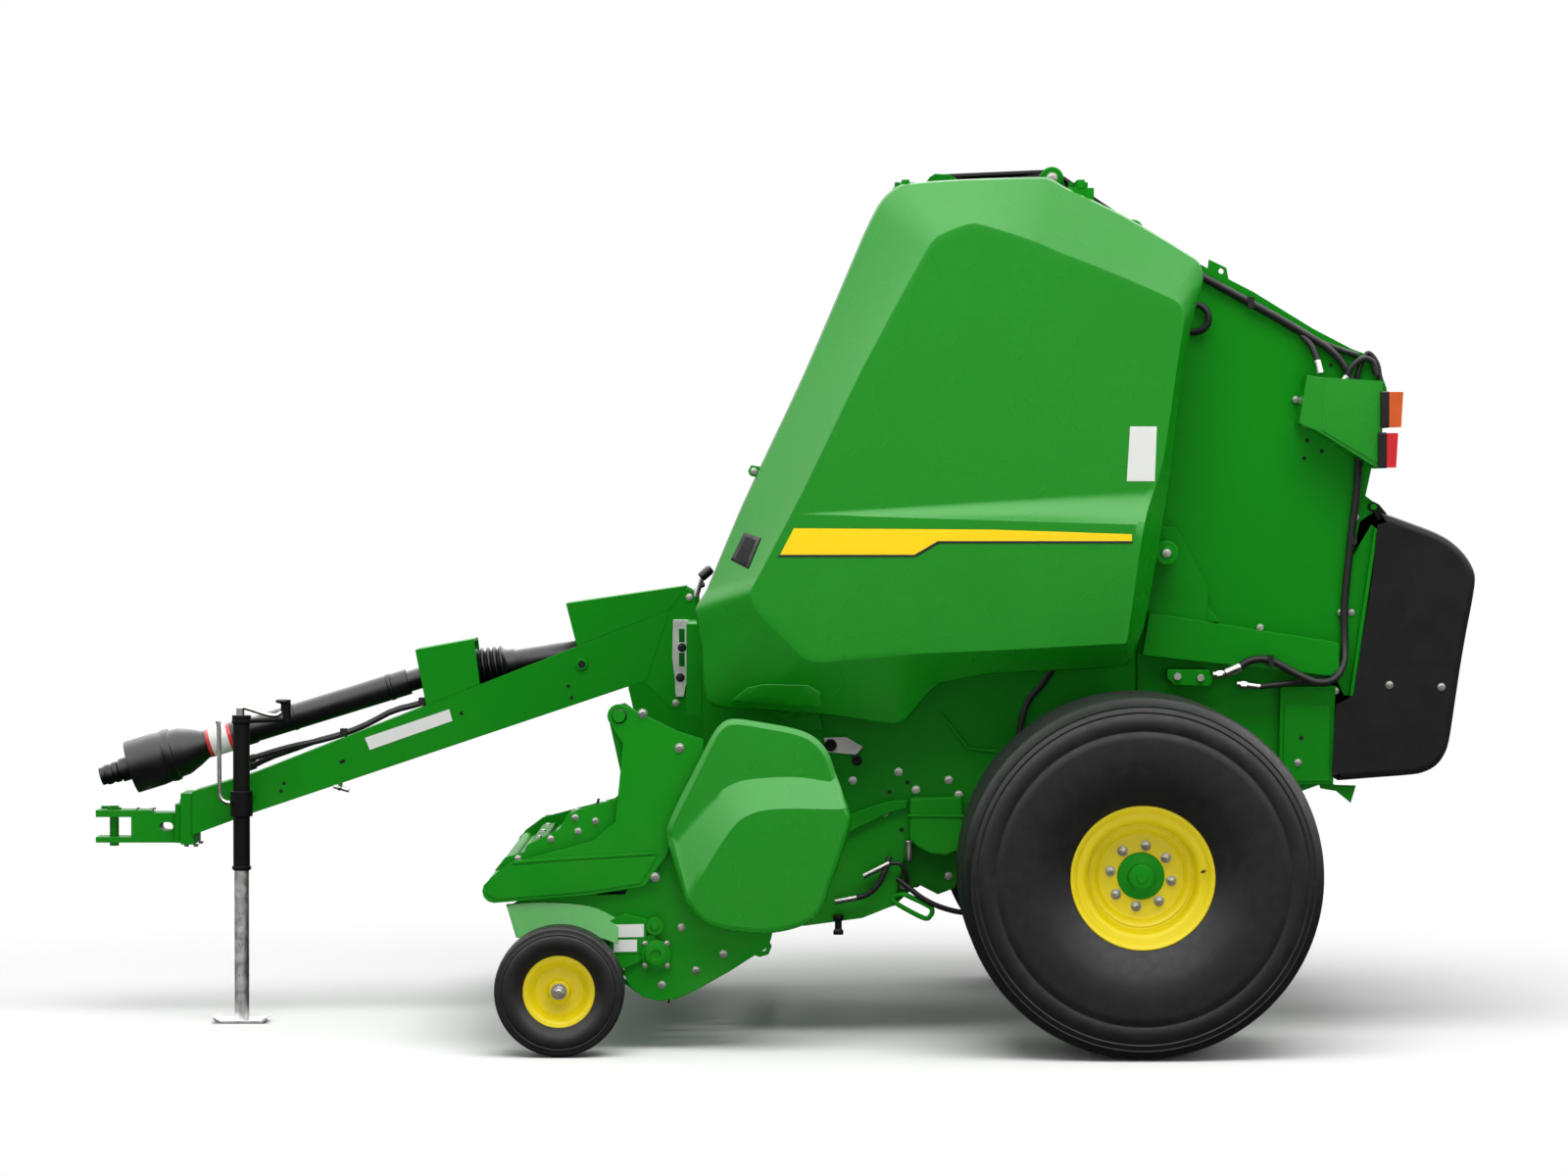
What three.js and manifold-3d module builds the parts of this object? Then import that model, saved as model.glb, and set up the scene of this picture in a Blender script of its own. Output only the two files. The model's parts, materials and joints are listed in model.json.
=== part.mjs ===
// Round baler, trailed, parked on its jack. Millimetres, +X rearward, +Y to the machine's right, +Z up.
// Every piece is laid out from the main axle: X = 0 at the axle, Y = 0 on the centre plane, Z = 0 on the ground.
// The whole group is shifted along X at the end, so that the origin lies under the middle of the machine.
import * as THREE from "three";
import { mergeVertices } from "three/addons/utils/BufferGeometryUtils.js";
import Module from "manifold-3d";

const wasm = await Module();
wasm.setup();

// ---------------------------------------------------------------- driving dimensions

const SEAT = 0.3; // gap left between two pieces that touch
const RUNNING = 1; // gap between a pin and its hole
const SLIDING = 0.6; // gap between a tube and what slides in it

// chamber and frame
const CHAMBER_HALF = 590; // centre plane to the inner face of a side wall
const WALL = 30; // thickness of a chamber side wall
const PARTING_X = 27; // where the gate meets the front walls
const PARTING_GAP = 6;
const HINGE_X = 117; // gate hinge
const HINGE_Z = 2350;
const HINGE_BOSS = 95;
const HINGE_PIN = 28;
const HINGE_PLATE = 16;
const FRAME_PLATE_FRONT = -1380;
const FRAME_PLATE_REAR = -1330;
const FRAME_PLATE_LOW = 1000;
const FRAME_PLATE_HIGH = 1290;
const SHIELD_HINGE_Z = 2652; // hinge line of the side shields
const SHIELD_HINGE_OUT = 34; // from the wall's outer face to that hinge line
const SHIELD_HINGE_PIN = 10;

// main wheels
const TRACK_HALF = 1075;
const TYRE_RADIUS = 547;
const TYRE_WIDTH = 540;
const RIM_RADIUS = 220;
const RIM_WIDTH = 440;
const HUB_RADIUS = 71;
const SPINDLE_RADIUS = 40;
const AXLE_SECTION = 110;

// gauge wheels
const GAUGE_X = -1754;
const GAUGE_RADIUS = 197;
const GAUGE_WIDTH = 160;
const GAUGE_OUT = 150; // from the pickup's end plate to the middle of a gauge wheel
const GAUGE_RIM = 111;
const GAUGE_AXLE = 12;

// pickup
const PICKUP_X = -1060; // lift pivot and feed rotor axis
const PICKUP_Z = 690;
const PICKUP_HALF = 1000; // centre plane to the inner face of an end plate
const PICKUP_PLATE = 20;
const REEL_X = -1465;
const REEL_Z = 294;
const BAND_RADIUS = 142;
const BAND_THICK = 5;
const BAND_WIDTH = 60;
const BAND_PITCH = 180;
const REEL_DRUM = 66;
const TINE_BAR_CIRCLE = 92;
const ROTOR_RADIUS = 205;
const HOUSING_RADIUS = 55;
const STUB_RADIUS = 28;

// wind guard
const GUARD_X = -1577;
const GUARD_Z = 1022;
const GUARD_BOSS = 36;
const GUARD_PIN = 20;
const GUARD_PLATE = 20;

// drive shields
const DRIVE_SHIELD_OUT = 65; // from the pickup's end plate to the shield
const DRIVE_SHIELD_DEPTH = 65;
const DRIVE_SHIELD_WALL = 8;

// side shields
const SHIELD_OUT = 180; // from the wall's outer face to the shield's inner rim
const SHIELD_DEPTH = 140; // from that rim to the shield's face
const SHIELD_WALL = 10;

// tongue
const TONGUE_HALF = 105;
const TONGUE_PLATE = 12;
const TONGUE_FRONT = [-2988, 592, 732]; // X, lower Z, upper Z
const TONGUE_KNEE = [-2798, 662, 789];
const TONGUE_REAR_LOW = [-1518, 1093];
const TONGUE_REAR_HIGH = [-1442, 1321];
const TONGUE_HOSE = 10;
const HITCH_PIN_X = -3253;
const HITCH_PIN = 15;
const CLEVIS_HALF = 50;
const CLEVIS_LOW = 564; // underside and top of the clevis
const CLEVIS_TOP = 669;
const FRONT_X = HITCH_PIN_X - 54;
const TONGUE_END = TONGUE_FRONT[0] - 38; // front face of the tongue's end plate

// jack
const JACK_X = -2817;
const JACK_OUT = 100; // from the tongue's side to the jack's axis
const JACK_PIVOT_Z = 701;
const JACK_TUBE = 27;
const JACK_TUBE_WALL = 3;
const JACK_LOW = 487;
const JACK_HIGH = 975;
const JACK_FOOT = 175;

// driveline
const DRIVE_PIVOT = [-2190, 1117]; // swing pivot of the front shaft, X and Z
const BELL_MOUTH = [-3196, 806];
const BELL_RADIUS = 86;
const BELL_LENGTH = 240;
const SHAFT_GUARD = 41.5;
const INNER_GUARD = 34;
const INNER_REACH = 700; // from the swing pivot to the end of the inner guard
const DRIVE_SHAFT = 24;
const YOKE_REACH = 104; // how far the yoke stands out of the bell guard
const YOKE_BORE = 18;

// gate
const GATE_BEAM = 75; // how far the gate's side beams stand out of the wall
const COVER_OUT = 50; // from the wall's outer face to the net cover's
const COVER_WALL = 15;
const GATE_HOSE = 12;
const ANGLE_SHEET = 8; // thickness of the angle along the gate's rear edge
const COVER_HINGE = [764, 1656]; // net cover hinge, X and Z
const COVER_HINGE_PIN = 10;

// gate cylinders
const RAM_BASE = [-1075, 1036]; // pin on the frame, X and Z
const RAM_EYE = [111, 1516]; // pin on the gate, X and Z
const RAM_OUT = 122; // from the wall's outer face to the cylinder's axis
const RAM_BARREL = 36;
const RAM_BARREL_LENGTH = 960;
const RAM_ROD = 20;
const RAM_PIN = 18;

const WALL_OUT = CHAMBER_HALF + WALL;
const GATE_BEAM_OUT = WALL_OUT + GATE_BEAM;
const COVER_HALF = WALL_OUT + COVER_OUT;
const RAM_MIDDLE = WALL_OUT + RAM_OUT;
const SHIELD_RIM = WALL_OUT + SHIELD_OUT;
const SHIELD_FACE = SHIELD_RIM + SHIELD_DEPTH;
const DRIVE_SHIELD_INNER = PICKUP_HALF + DRIVE_SHIELD_OUT;
const DRIVE_SHIELD_OUTER = DRIVE_SHIELD_INNER + DRIVE_SHIELD_DEPTH;
const GAUGE_HALF = PICKUP_HALF + GAUGE_OUT;
const JACK_Y = -(TONGUE_HALF + JACK_OUT);

// ---------------------------------------------------------------- geometry helpers

function solid(geometry) {
  const bare = geometry.index ? geometry.toNonIndexed() : geometry.clone();
  bare.deleteAttribute("normal");
  bare.deleteAttribute("uv");
  const merged = mergeVertices(bare, 1e-3);
  return new wasm.Manifold(
    new wasm.Mesh({
      numProp: 3,
      vertProperties: merged.attributes.position.array,
      triVerts: new Uint32Array(merged.index.array),
    }),
  );
}

function geometryOf(manifold) {
  const mesh = manifold.getMesh();
  const geometry = new THREE.BufferGeometry();
  geometry.setAttribute("position", new THREE.BufferAttribute(mesh.vertProperties, 3));
  geometry.setIndex(new THREE.BufferAttribute(mesh.triVerts, 1));
  return geometry;
}

function join(...geometries) {
  return geometryOf(geometries.map(solid).reduce((sum, next) => sum.add(next)));
}

function cut(body, ...tools) {
  return geometryOf(tools.map(solid).reduce((rest, tool) => rest.subtract(tool), solid(body)));
}

// The same piece on the other side of the centre plane.
function mirrored(geometry) {
  const copy = (geometry.index ? geometry.toNonIndexed() : geometry.clone()).scale(1, -1, 1);
  const p = copy.attributes.position;
  for (let i = 0; i < p.count; i += 3) {
    const [x, y, z] = [p.getX(i), p.getY(i), p.getZ(i)];
    p.setXYZ(i, p.getX(i + 1), p.getY(i + 1), p.getZ(i + 1));
    p.setXYZ(i + 1, x, y, z);
  }
  copy.deleteAttribute("normal");
  copy.deleteAttribute("uv");
  return copy;
}

function outline(points) {
  return new THREE.Shape(points.map(([a, b]) => new THREE.Vector2(a, b)));
}

// An outline in X and Z, from one Y to another.
function plateXZ(points, y0, y1) {
  const geometry = new THREE.ExtrudeGeometry(outline(points), {
    depth: y1 - y0,
    bevelEnabled: false,
  });
  return geometry.rotateX(Math.PI / 2).translate(0, y1, 0);
}

// An outline in Y and Z, from one X to another.
function plateYZ(points, x0, x1) {
  const geometry = new THREE.ExtrudeGeometry(outline(points), {
    depth: x1 - x0,
    bevelEnabled: false,
  });
  return geometry.rotateX(Math.PI / 2).rotateZ(Math.PI / 2).translate(x0, 0, 0);
}

function box(x0, x1, y0, y1, z0, z1) {
  return new THREE.BoxGeometry(x1 - x0, y1 - y0, z1 - z0).translate(
    (x0 + x1) / 2,
    (y0 + y1) / 2,
    (z0 + z1) / 2,
  );
}

const UP = new THREE.Vector3(0, 1, 0);

// Turns a geometry that stands along its own +Y from its origin, so that it runs from a towards b.
function aim(geometry, a, b) {
  const from = new THREE.Vector3(...a);
  const along = new THREE.Vector3(...b).sub(from).normalize();
  const turn = new THREE.Quaternion().setFromUnitVectors(UP, along);
  return geometry.applyQuaternion(turn).translate(...a);
}

function rod(radius, a, b, sides = 12) {
  const length = new THREE.Vector3(...a).distanceTo(new THREE.Vector3(...b));
  const geometry = new THREE.CylinderGeometry(radius, radius, length, sides);
  return aim(geometry.translate(0, length / 2, 0), a, b);
}

// A round bar along Y at a place in X and Z.
function barY(radius, [x, z], y0, y1, sides = 12) {
  return rod(radius, [x, y0, z], [x, y1, z], sides);
}

// A turned piece: [radius, height] points, closed on the axis or on themselves, standing from a towards b.
function turned(profile, a, b, sides = 32) {
  const points = profile.map(([r, h]) => new THREE.Vector2(r, h));
  return aim(new THREE.LatheGeometry(points, sides), a, b);
}

function ring(profile) {
  return [...profile, profile[0]];
}

// A round tube that follows a smooth curve through the points.
function hose(radius, points, steps, sides = 8) {
  const circle = new THREE.Shape();
  circle.absarc(0, 0, radius, 0, Math.PI * 2);
  const section = outline(circle.getSpacedPoints(sides).slice(0, sides).map((p) => [p.x, p.y]));
  const path = new THREE.CatmullRomCurve3(points.map((p) => new THREE.Vector3(...p)));
  return new THREE.ExtrudeGeometry(section, { steps, extrudePath: path });
}

// A point at an angle round a centre in X and Z, in degrees counted from +X towards +Z.
function polar([x, z], radius, degrees) {
  const angle = THREE.MathUtils.degToRad(degrees);
  return [x + radius * Math.cos(angle), z + radius * Math.sin(angle)];
}

function arc(centre, radius, from, to, steps) {
  return Array.from({ length: steps + 1 }, (_, i) =>
    polar(centre, radius, from + ((to - from) * i) / steps),
  );
}

// Height of the line from a to b at a given X.
function heightAt(a, b, x) {
  return a[1] + ((b[1] - a[1]) * (x - a[0])) / (b[0] - a[0]);
}

// The outline round a set of circles of one radius, their centres given clockwise as a convex ring.
function around(centres, radius, steps = 5) {
  const count = centres.length;
  const normal = (p, q) => Math.atan2(q[0] - p[0], -(q[1] - p[1])) * (180 / Math.PI);
  return centres.flatMap((c, i) => {
    const before = centres[(i + count - 1) % count];
    const after = centres[(i + 1) % count];
    const from = normal(before, c);
    let to = normal(c, after);
    while (to > from) to -= 360;
    while (to < from - 360) to += 360;
    return arc(c, radius, from, to, steps);
  });
}

const paints = {
  green: { color: 0x2a8a2a, roughness: 0.4, metalness: 0 },
  darkGreen: { color: 0x1f6b1f, roughness: 0.5, metalness: 0 },
  yellow: { color: 0xe8d215, roughness: 0.4, metalness: 0 },
  rubber: { color: 0x2c2c2e, roughness: 0.9, metalness: 0 },
  black: { color: 0x222222, roughness: 0.6, metalness: 0 },
  steel: { color: 0xb9b9b4, roughness: 0.35, metalness: 1 },
  chrome: { color: 0xdddddd, roughness: 0.1, metalness: 1 },
  amber: { color: 0xe07010, roughness: 0.2, metalness: 0 },
  red: { color: 0xd01020, roughness: 0.2, metalness: 0 },
};

const baler = new THREE.Group();

function add(name, geometry, paint) {
  const mesh = new THREE.Mesh(geometry, new THREE.MeshStandardMaterial(paints[paint]));
  mesh.name = name;
  baler.add(mesh);
}

// A piece and its twin: built for the machine's right side (+Y), mirrored for the left.
function addPair(name, geometry, paint) {
  add("right_" + name, geometry, paint);
  add("left_" + name, mirrored(geometry), paint);
}

// ---------------------------------------------------------------- frame

const HINGE = [HINGE_X, HINGE_Z];
const RAM_DIRECTION = new THREE.Vector2(RAM_EYE[0] - RAM_BASE[0], RAM_EYE[1] - RAM_BASE[1]);
const RAM_LENGTH = RAM_DIRECTION.length();
const WALL_REAR = PARTING_X - PARTING_GAP / 2;
const GATE_FRONT = PARTING_X + PARTING_GAP / 2;
const AXLE_TOP = TYRE_RADIUS + AXLE_SECTION / 2;
const TOP_ROLLER = [-250, 2640];
const BELT_ROLLER = 50;
const BELT = 12;

function frontWall() {
  const sheet = plateXZ(
    [
      [-1014, 344],
      [-830, 369],
      [-732, 408],
      [-690, 600],
      [-560, AXLE_TOP + SEAT],
      [WALL_REAR, AXLE_TOP + SEAT],
      [WALL_REAR, HINGE_Z - 60],
      ...arc(HINGE, HINGE_BOSS + PARTING_GAP, 207, 128, 6),
      [HINGE_X - 46, HINGE_Z + 113],
      [-60, 2530],
      [-235, 2622],
      [-270, 2650],
      [-528, 2646],
      [-700, 2630],
      [-752, 2588],
      [-808, 2478],
      [-990, 2055],
      [-1172, 1668],
      [-1288, 1398],
      [FRAME_PLATE_REAR + SEAT, FRAME_PLATE_HIGH],
      [FRAME_PLATE_REAR + SEAT, FRAME_PLATE_LOW],
      [-1290, 640],
      [-1200, 420],
    ],
    CHAMBER_HALF,
    WALL_OUT,
  );
  const plateIn = WALL_OUT + PARTING_GAP;
  const plateOut = plateIn + HINGE_PLATE;
  const hingePlate = plateXZ(
    [[-150, HINGE_Z - 70], [-150, HINGE_Z + 90], ...arc(HINGE, 75, 100, -100, 8)],
    plateIn,
    plateOut,
  );
  const hingeSpacer = box(-150, -10, CHAMBER_HALF + 5, plateOut, HINGE_Z - 60, HINGE_Z + 80);
  const hingePin = barY(HINGE_PIN, HINGE, CHAMBER_HALF + SEAT, plateOut + 12);
  const ramPin = barY(RAM_PIN, RAM_BASE, WALL_OUT - 5, RAM_MIDDLE + 40);
  const ramPlate = plateXZ(
    [[-1200, 960], [-1200, 1110], [-1000, 1110], [-950, 960]],
    WALL_OUT - 5,
    WALL_OUT + 60,
  );
  const rollerCap = barY(36, TOP_ROLLER, CHAMBER_HALF + 4, WALL_OUT + 10);
  const knuckles = [-700, -160].map((x) => {
    const hingeY = WALL_OUT + SHIELD_HINGE_OUT;
    return join(
      box(x - 30, x + 30, WALL_OUT - 5, hingeY, SHIELD_HINGE_Z - 44, SHIELD_HINGE_Z - 24),
      box(x - 30, x - 14, WALL_OUT - 5, hingeY + 14, SHIELD_HINGE_Z - 44, SHIELD_HINGE_Z + 14),
      box(x + 14, x + 30, WALL_OUT - 5, hingeY + 14, SHIELD_HINGE_Z - 44, SHIELD_HINGE_Z + 14),
      rod(SHIELD_HINGE_PIN, [x - 28, hingeY, SHIELD_HINGE_Z], [x + 28, hingeY, SHIELD_HINGE_Z], 16),
      box(x - 30, x + 30, CHAMBER_HALF + 10, WALL_OUT, SHIELD_HINGE_Z - 80, SHIELD_HINGE_Z - 24),
    );
  });
  return join(sheet, hingePlate, hingeSpacer, hingePin, ramPin, ramPlate, rollerCap, ...knuckles);
}
addPair("front_wall", frontWall(), "green");

function axleBeam() {
  const half = AXLE_SECTION / 2;
  const beam = box(-half, half, -760, 760, TYRE_RADIUS - half, AXLE_TOP);
  const sides = [-1, 1].map((side) => {
    const face = side * (WALL_OUT + SEAT);
    const outer = side * (WALL_OUT + 22);
    const bracket = plateXZ(
      [[-230, 760], [-60, 490], [60, 490], [10, 760]],
      Math.min(face, outer),
      Math.max(face, outer),
    );
    const spindle = barY(SPINDLE_RADIUS, [0, TYRE_RADIUS], side * 740, side * (TRACK_HALF - 20));
    return join(bracket, spindle);
  });
  return join(beam, ...sides);
}
add("axle_beam", axleBeam(), "green");

function frontFrame() {
  const plate = box(
    FRAME_PLATE_FRONT,
    FRAME_PLATE_REAR,
    -WALL_OUT,
    WALL_OUT,
    FRAME_PLATE_LOW,
    FRAME_PLATE_HIGH,
  );
  const windows = [-1, 1].map((side) =>
    box(FRAME_PLATE_FRONT - 1, FRAME_PLATE_REAR + 1, side * 390 - 170, side * 390 + 170, 1060, 1230),
  );
  return cut(plate, ...windows);
}
add("front_frame", frontFrame(), "green");

function driveHousing() {
  const tube = barY(HOUSING_RADIUS, [PICKUP_X, PICKUP_Z], WALL_OUT + SEAT, PICKUP_HALF - 6);
  const stub = barY(
    STUB_RADIUS,
    [PICKUP_X, PICKUP_Z],
    PICKUP_HALF - 10,
    DRIVE_SHIELD_OUTER - DRIVE_SHIELD_WALL - SEAT,
  );
  return join(tube, stub);
}
addPair("drive_housing", driveHousing(), "darkGreen");

const DRIVE_SHIELD = [
  [-1431, 643],
  [-1422, 708],
  [-1318, 948],
  [-1282, 998],
  [-1238, 1016],
  [-1016, 977],
  [-948, 924],
  [-874, 732],
  [-871, 696],
  [-927, 524],
  [-980, 412],
  [-1105, 367],
  [-1253, 376],
  [-1327, 406],
  [-1377, 465],
];

// The outline moved inwards by a distance, for a thin wall.
function inset(points, distance) {
  const count = points.length;
  const area = points.reduce((sum, [x, z], i) => {
    const [nx, nz] = points[(i + 1) % count];
    return sum + x * nz - nx * z;
  }, 0);
  const turn = Math.sign(area);
  return points.map((p, i) => {
    const a = points[(i + count - 1) % count];
    const b = points[(i + 1) % count];
    const u = new THREE.Vector2(p[0] - a[0], p[1] - a[1]).normalize();
    const v = new THREE.Vector2(b[0] - p[0], b[1] - p[1]).normalize();
    const n = new THREE.Vector2(-u.y - v.y, u.x + v.x).multiplyScalar(turn);
    const reach = (2 * distance) / n.lengthSq();
    return [p[0] + n.x * reach, p[1] + n.y * reach];
  });
}

function driveShield() {
  const outer = plateXZ(DRIVE_SHIELD, DRIVE_SHIELD_INNER, DRIVE_SHIELD_OUTER);
  const hollow = plateXZ(
    inset(DRIVE_SHIELD, DRIVE_SHIELD_WALL),
    DRIVE_SHIELD_INNER - 1,
    DRIVE_SHIELD_OUTER - DRIVE_SHIELD_WALL,
  );
  return cut(outer, hollow);
}
addPair("drive_shield", driveShield(), "green");

// ---------------------------------------------------------------- belts and rollers

function beltBank(centres) {
  const inner = around(centres, BELT_ROLLER - 2, 3);
  const outer = around(centres, BELT_ROLLER + BELT, 3);
  const reach = CHAMBER_HALF - 20;
  const loop = cut(plateXZ(outer, -reach, reach), plateXZ(inner, -reach - 1, reach + 1));
  const rollers = centres.map((c) =>
    join(
      barY(BELT_ROLLER, c, -reach + 5, reach - 5, 12),
      barY(22, c, -(CHAMBER_HALF - SEAT), CHAMBER_HALF - SEAT, 8),
    ),
  );
  return join(loop, ...rollers);
}
add(
  "front_belts",
  beltBank([TOP_ROLLER, [-1010, 1020], [-1235, 1130], [-1225, 1350], [-690, 2570]]),
  "black",
);
add("gate_belts", beltBank([[250, 2325], [700, 2050], [560, 1180], [470, 880]]), "black");

// ---------------------------------------------------------------- gate

function gateSide() {
  const sheet = plateXZ(
    [
      [GATE_FRONT, 720],
      [GATE_FRONT, HINGE_Z - 38],
      ...arc(HINGE, HINGE_BOSS, 203, 60, 8),
      [203, 2424],
      [392, 2326],
      [576, 2213],
      [698, 2149],
      [774, 2121],
      [808, 2023],
      [759, 1770],
      [713, 1556],
      [683, 1403],
      [643, 1128],
      [612, 791],
      [545, 767],
      [300, 690],
    ],
    CHAMBER_HALF,
    WALL_OUT,
  );
  const hole = barY(HINGE_PIN + RUNNING, HINGE, CHAMBER_HALF - 10, WALL_OUT + 10);
  const beam = plateXZ(
    [[62, 1326], [652, 1232], [652, 1128], [41, 1195]],
    WALL_OUT - 5,
    GATE_BEAM_OUT,
  );
  const foot = plateXZ(
    [[474, 1094], [646, 1098], [640, 792], [470, 788]],
    WALL_OUT - 5,
    GATE_BEAM_OUT - 45,
  );
  const ramPlate = plateXZ(
    [[35, 1420], [45, 1600], [150, 1590], [250, 1400], [240, 1290], [62, 1320]],
    WALL_OUT - 5,
    GATE_BEAM_OUT - 35,
  );
  const ramBoss = barY(34, RAM_EYE, WALL_OUT - 5, RAM_MIDDLE - 24, 12);
  const coverBracket = plateXZ(
    [[690, 1600], [700, 1700], [742, 1690], ...arc(COVER_HINGE, 16, 80, -60, 4), [724, 1610]],
    CHAMBER_HALF,
    WALL_OUT,
  );
  const coverPin = barY(COVER_HINGE_PIN, COVER_HINGE, CHAMBER_HALF + 5, COVER_HALF - 18);
  const rearAngle = join(
    plateXZ(
      [[640, 1140], [676, 1066], [701, 1066], [777, 1588], [760, 1600], [700, 1500]],
      WALL_OUT - 5,
      WALL_OUT + ANGLE_SHEET,
    ),
    plateXZ([[690, 1066], [701, 1066], [777, 1588], [765, 1588]], WALL_OUT, COVER_HALF - 8),
  );
  const liftingLug = cut(
    plateXZ([[246, 2380], [252, 2428], [306, 2402], [316, 2350]], WALL_OUT - 20, WALL_OUT),
    barY(9, [290, 2392], WALL_OUT - 30, WALL_OUT + 10),
  );
  const tailBracket = plateXZ(
    [[596, 800], [604, 775], [652, 767], [698, 730], [714, 784], [650, 786], [620, 800]],
    WALL_OUT - 14,
    WALL_OUT,
  );
  return join(
    cut(sheet, hole),
    beam,
    foot,
    ramPlate,
    ramBoss,
    coverBracket,
    coverPin,
    rearAngle,
    liftingLug,
    tailBracket,
  );
}
addPair("gate_side", gateSide(), "green");

function gateCross(points) {
  const reach = CHAMBER_HALF - SEAT;
  return plateXZ(points, -reach, reach);
}
const TOP_CROSS = [[766, 2102], [779, 2100], [803, 2024], [784, 1930], [760, 1930], [774, 2024]];
const REAR_CROSS = [[700, 1500], [712, 1560], [744, 1700], [716, 1700], [692, 1560], [682, 1500]];
const LOWER_CROSS = [[560, 800], [600, 806], [618, 960], [590, 970]];
add("gate_top_cross", gateCross(TOP_CROSS), "green");
add("gate_rear_cross", gateCross(REAR_CROSS), "green");
add("gate_lower_cross", gateCross(LOWER_CROSS), "green");

const LAMP_TOP = [778, 2034]; // rear corners of the lamp bracket
const LAMP_LOW = [763, 1775];

function lampBracket() {
  const side = [[544, 2064], [602, 2055], LAMP_TOP, LAMP_LOW, [578, 1891], [520, 1915]];
  const channel = plateXZ(
    [[622, 2110], [705, 2110], [748, 1985], [746, 1730], [688, 1730], [694, 1965]],
    WALL_OUT - 5,
    WALL_OUT + 2 * GATE_HOSE + ANGLE_SHEET + 4,
  );
  return cut(plateXZ(side, WALL_OUT + SEAT, WALL_OUT + 140), channel);
}
addPair("lamp_bracket", lampBracket(), "green");

// A lamp seated on the bracket's rear edge between two heights.
function lamp(depth, z0, z1) {
  const slope = (LAMP_TOP[0] - LAMP_LOW[0]) / (LAMP_TOP[1] - LAMP_LOW[1]);
  const seat = (z) => LAMP_LOW[0] + (z - LAMP_LOW[1]) * slope + SEAT;
  return plateXZ(
    [[seat(z0), z0], [seat(z1), z1], [seat(z1) + depth, z1], [seat(z0) + depth, z0]],
    WALL_OUT + 25,
    WALL_OUT + 165,
  );
}
addPair("turn_lamp", lamp(62, 1903, 2012), "amber");
addPair("tail_lamp", lamp(54, 1778, 1885), "red");

// The hose on the left side of the gate: under the top edge, through the lamp bracket, down to the beam.
function gateHose() {
  const near = -(WALL_OUT + GATE_HOSE + ANGLE_SHEET + SEAT);
  const far = -(GATE_BEAM_OUT + GATE_HOSE + 3);
  const route = [
    [214, near, 2382],
    [380, near, 2292],
    [545, near, 2198],
    [655, near, 2115],
    [718, near, 1985],
    [716, near, 1760],
    [696, near, 1555],
    [668, near, 1345],
    [680, near - 8, 1220],
    [682, near - 36, 1150],
    [668, far + 2, 1114],
    [630, far, 1104],
    [585, far, 1120],
    [510, far, 1160],
    [438, far, 1186],
    [331, far, 1150],
  ];
  const clips = [
    box(370, 390, near - 14, -(WALL_OUT + SEAT), 2272, 2312),
    box(686, 712, near - 14, -(WALL_OUT + ANGLE_SHEET + SEAT), 1535, 1565),
    box(430, 446, far - 14, -(GATE_BEAM_OUT + SEAT), 1168, 1202),
  ];
  const fitting = rod(16, [345, far, 1155], [300, far, 1140], 10);
  return join(hose(GATE_HOSE, route, 36, 7), fitting, ...clips);
}
add("gate_hose", gateHose(), "black");

function netCover() {
  const shape = [
    [788, 1640],
    [975, 1571],
    [1066, 1494],
    [1082, 1439],
    [1036, 1158],
    [999, 913],
    [929, 827],
    [883, 818],
    [653, 800],
    [675, 1035],
    [708, 1066],
    [786, 1600],
  ];
  const hollow = [
    [700, 1656],
    [788, 1624],
    [967, 1557],
    [1052, 1486],
    [1066, 1438],
    [1021, 1160],
    [985, 920],
    [922, 842],
    [882, 833],
    [600, 812],
    [600, 1100],
  ];
  const shell = cut(
    plateXZ(shape, -COVER_HALF, COVER_HALF),
    plateXZ(hollow, -COVER_HALF + COVER_WALL, COVER_HALF - COVER_WALL),
  );
  const lugs = [-1, 1].map((side) => {
    const near = side * (WALL_OUT + 6);
    const far = side * (COVER_HALF - COVER_WALL - 6);
    const plate = plateXZ(
      [[800, 1632], [786, 1616], ...arc(COVER_HINGE, 17, -110, -290, 6), [800, 1638]],
      Math.min(near, far),
      Math.max(near, far),
    );
    return cut(plate, barY(COVER_HINGE_PIN + RUNNING, COVER_HINGE, -COVER_HALF, COVER_HALF));
  });
  return join(shell, ...lugs);
}
add("net_cover", netCover(), "black");

// ---------------------------------------------------------------- gate cylinders

const RAM_ALONG = RAM_DIRECTION.clone().normalize();

function onRam(distance, y = RAM_MIDDLE) {
  return [
    RAM_BASE[0] + RAM_ALONG.x * distance,
    y,
    RAM_BASE[1] + RAM_ALONG.y * distance,
  ];
}

function ramBarrel() {
  const eye = barY(36, RAM_BASE, RAM_MIDDLE - 24, RAM_MIDDLE + 24);
  const barrel = rod(RAM_BARREL, onRam(30), onRam(RAM_BARREL_LENGTH), 24);
  const bore = rod(RAM_ROD + 6, onRam(60), onRam(RAM_BARREL_LENGTH - 30), 20);
  const mouth = rod(RAM_ROD + RUNNING, onRam(RAM_BARREL_LENGTH - 40), onRam(RAM_BARREL_LENGTH + 10), 20);
  const hole = barY(RAM_PIN + RUNNING, RAM_BASE, RAM_MIDDLE - 40, RAM_MIDDLE + 41);
  return cut(join(eye, barrel), bore, mouth, hole);
}
addPair("ram_barrel", ramBarrel(), "green");

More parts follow.
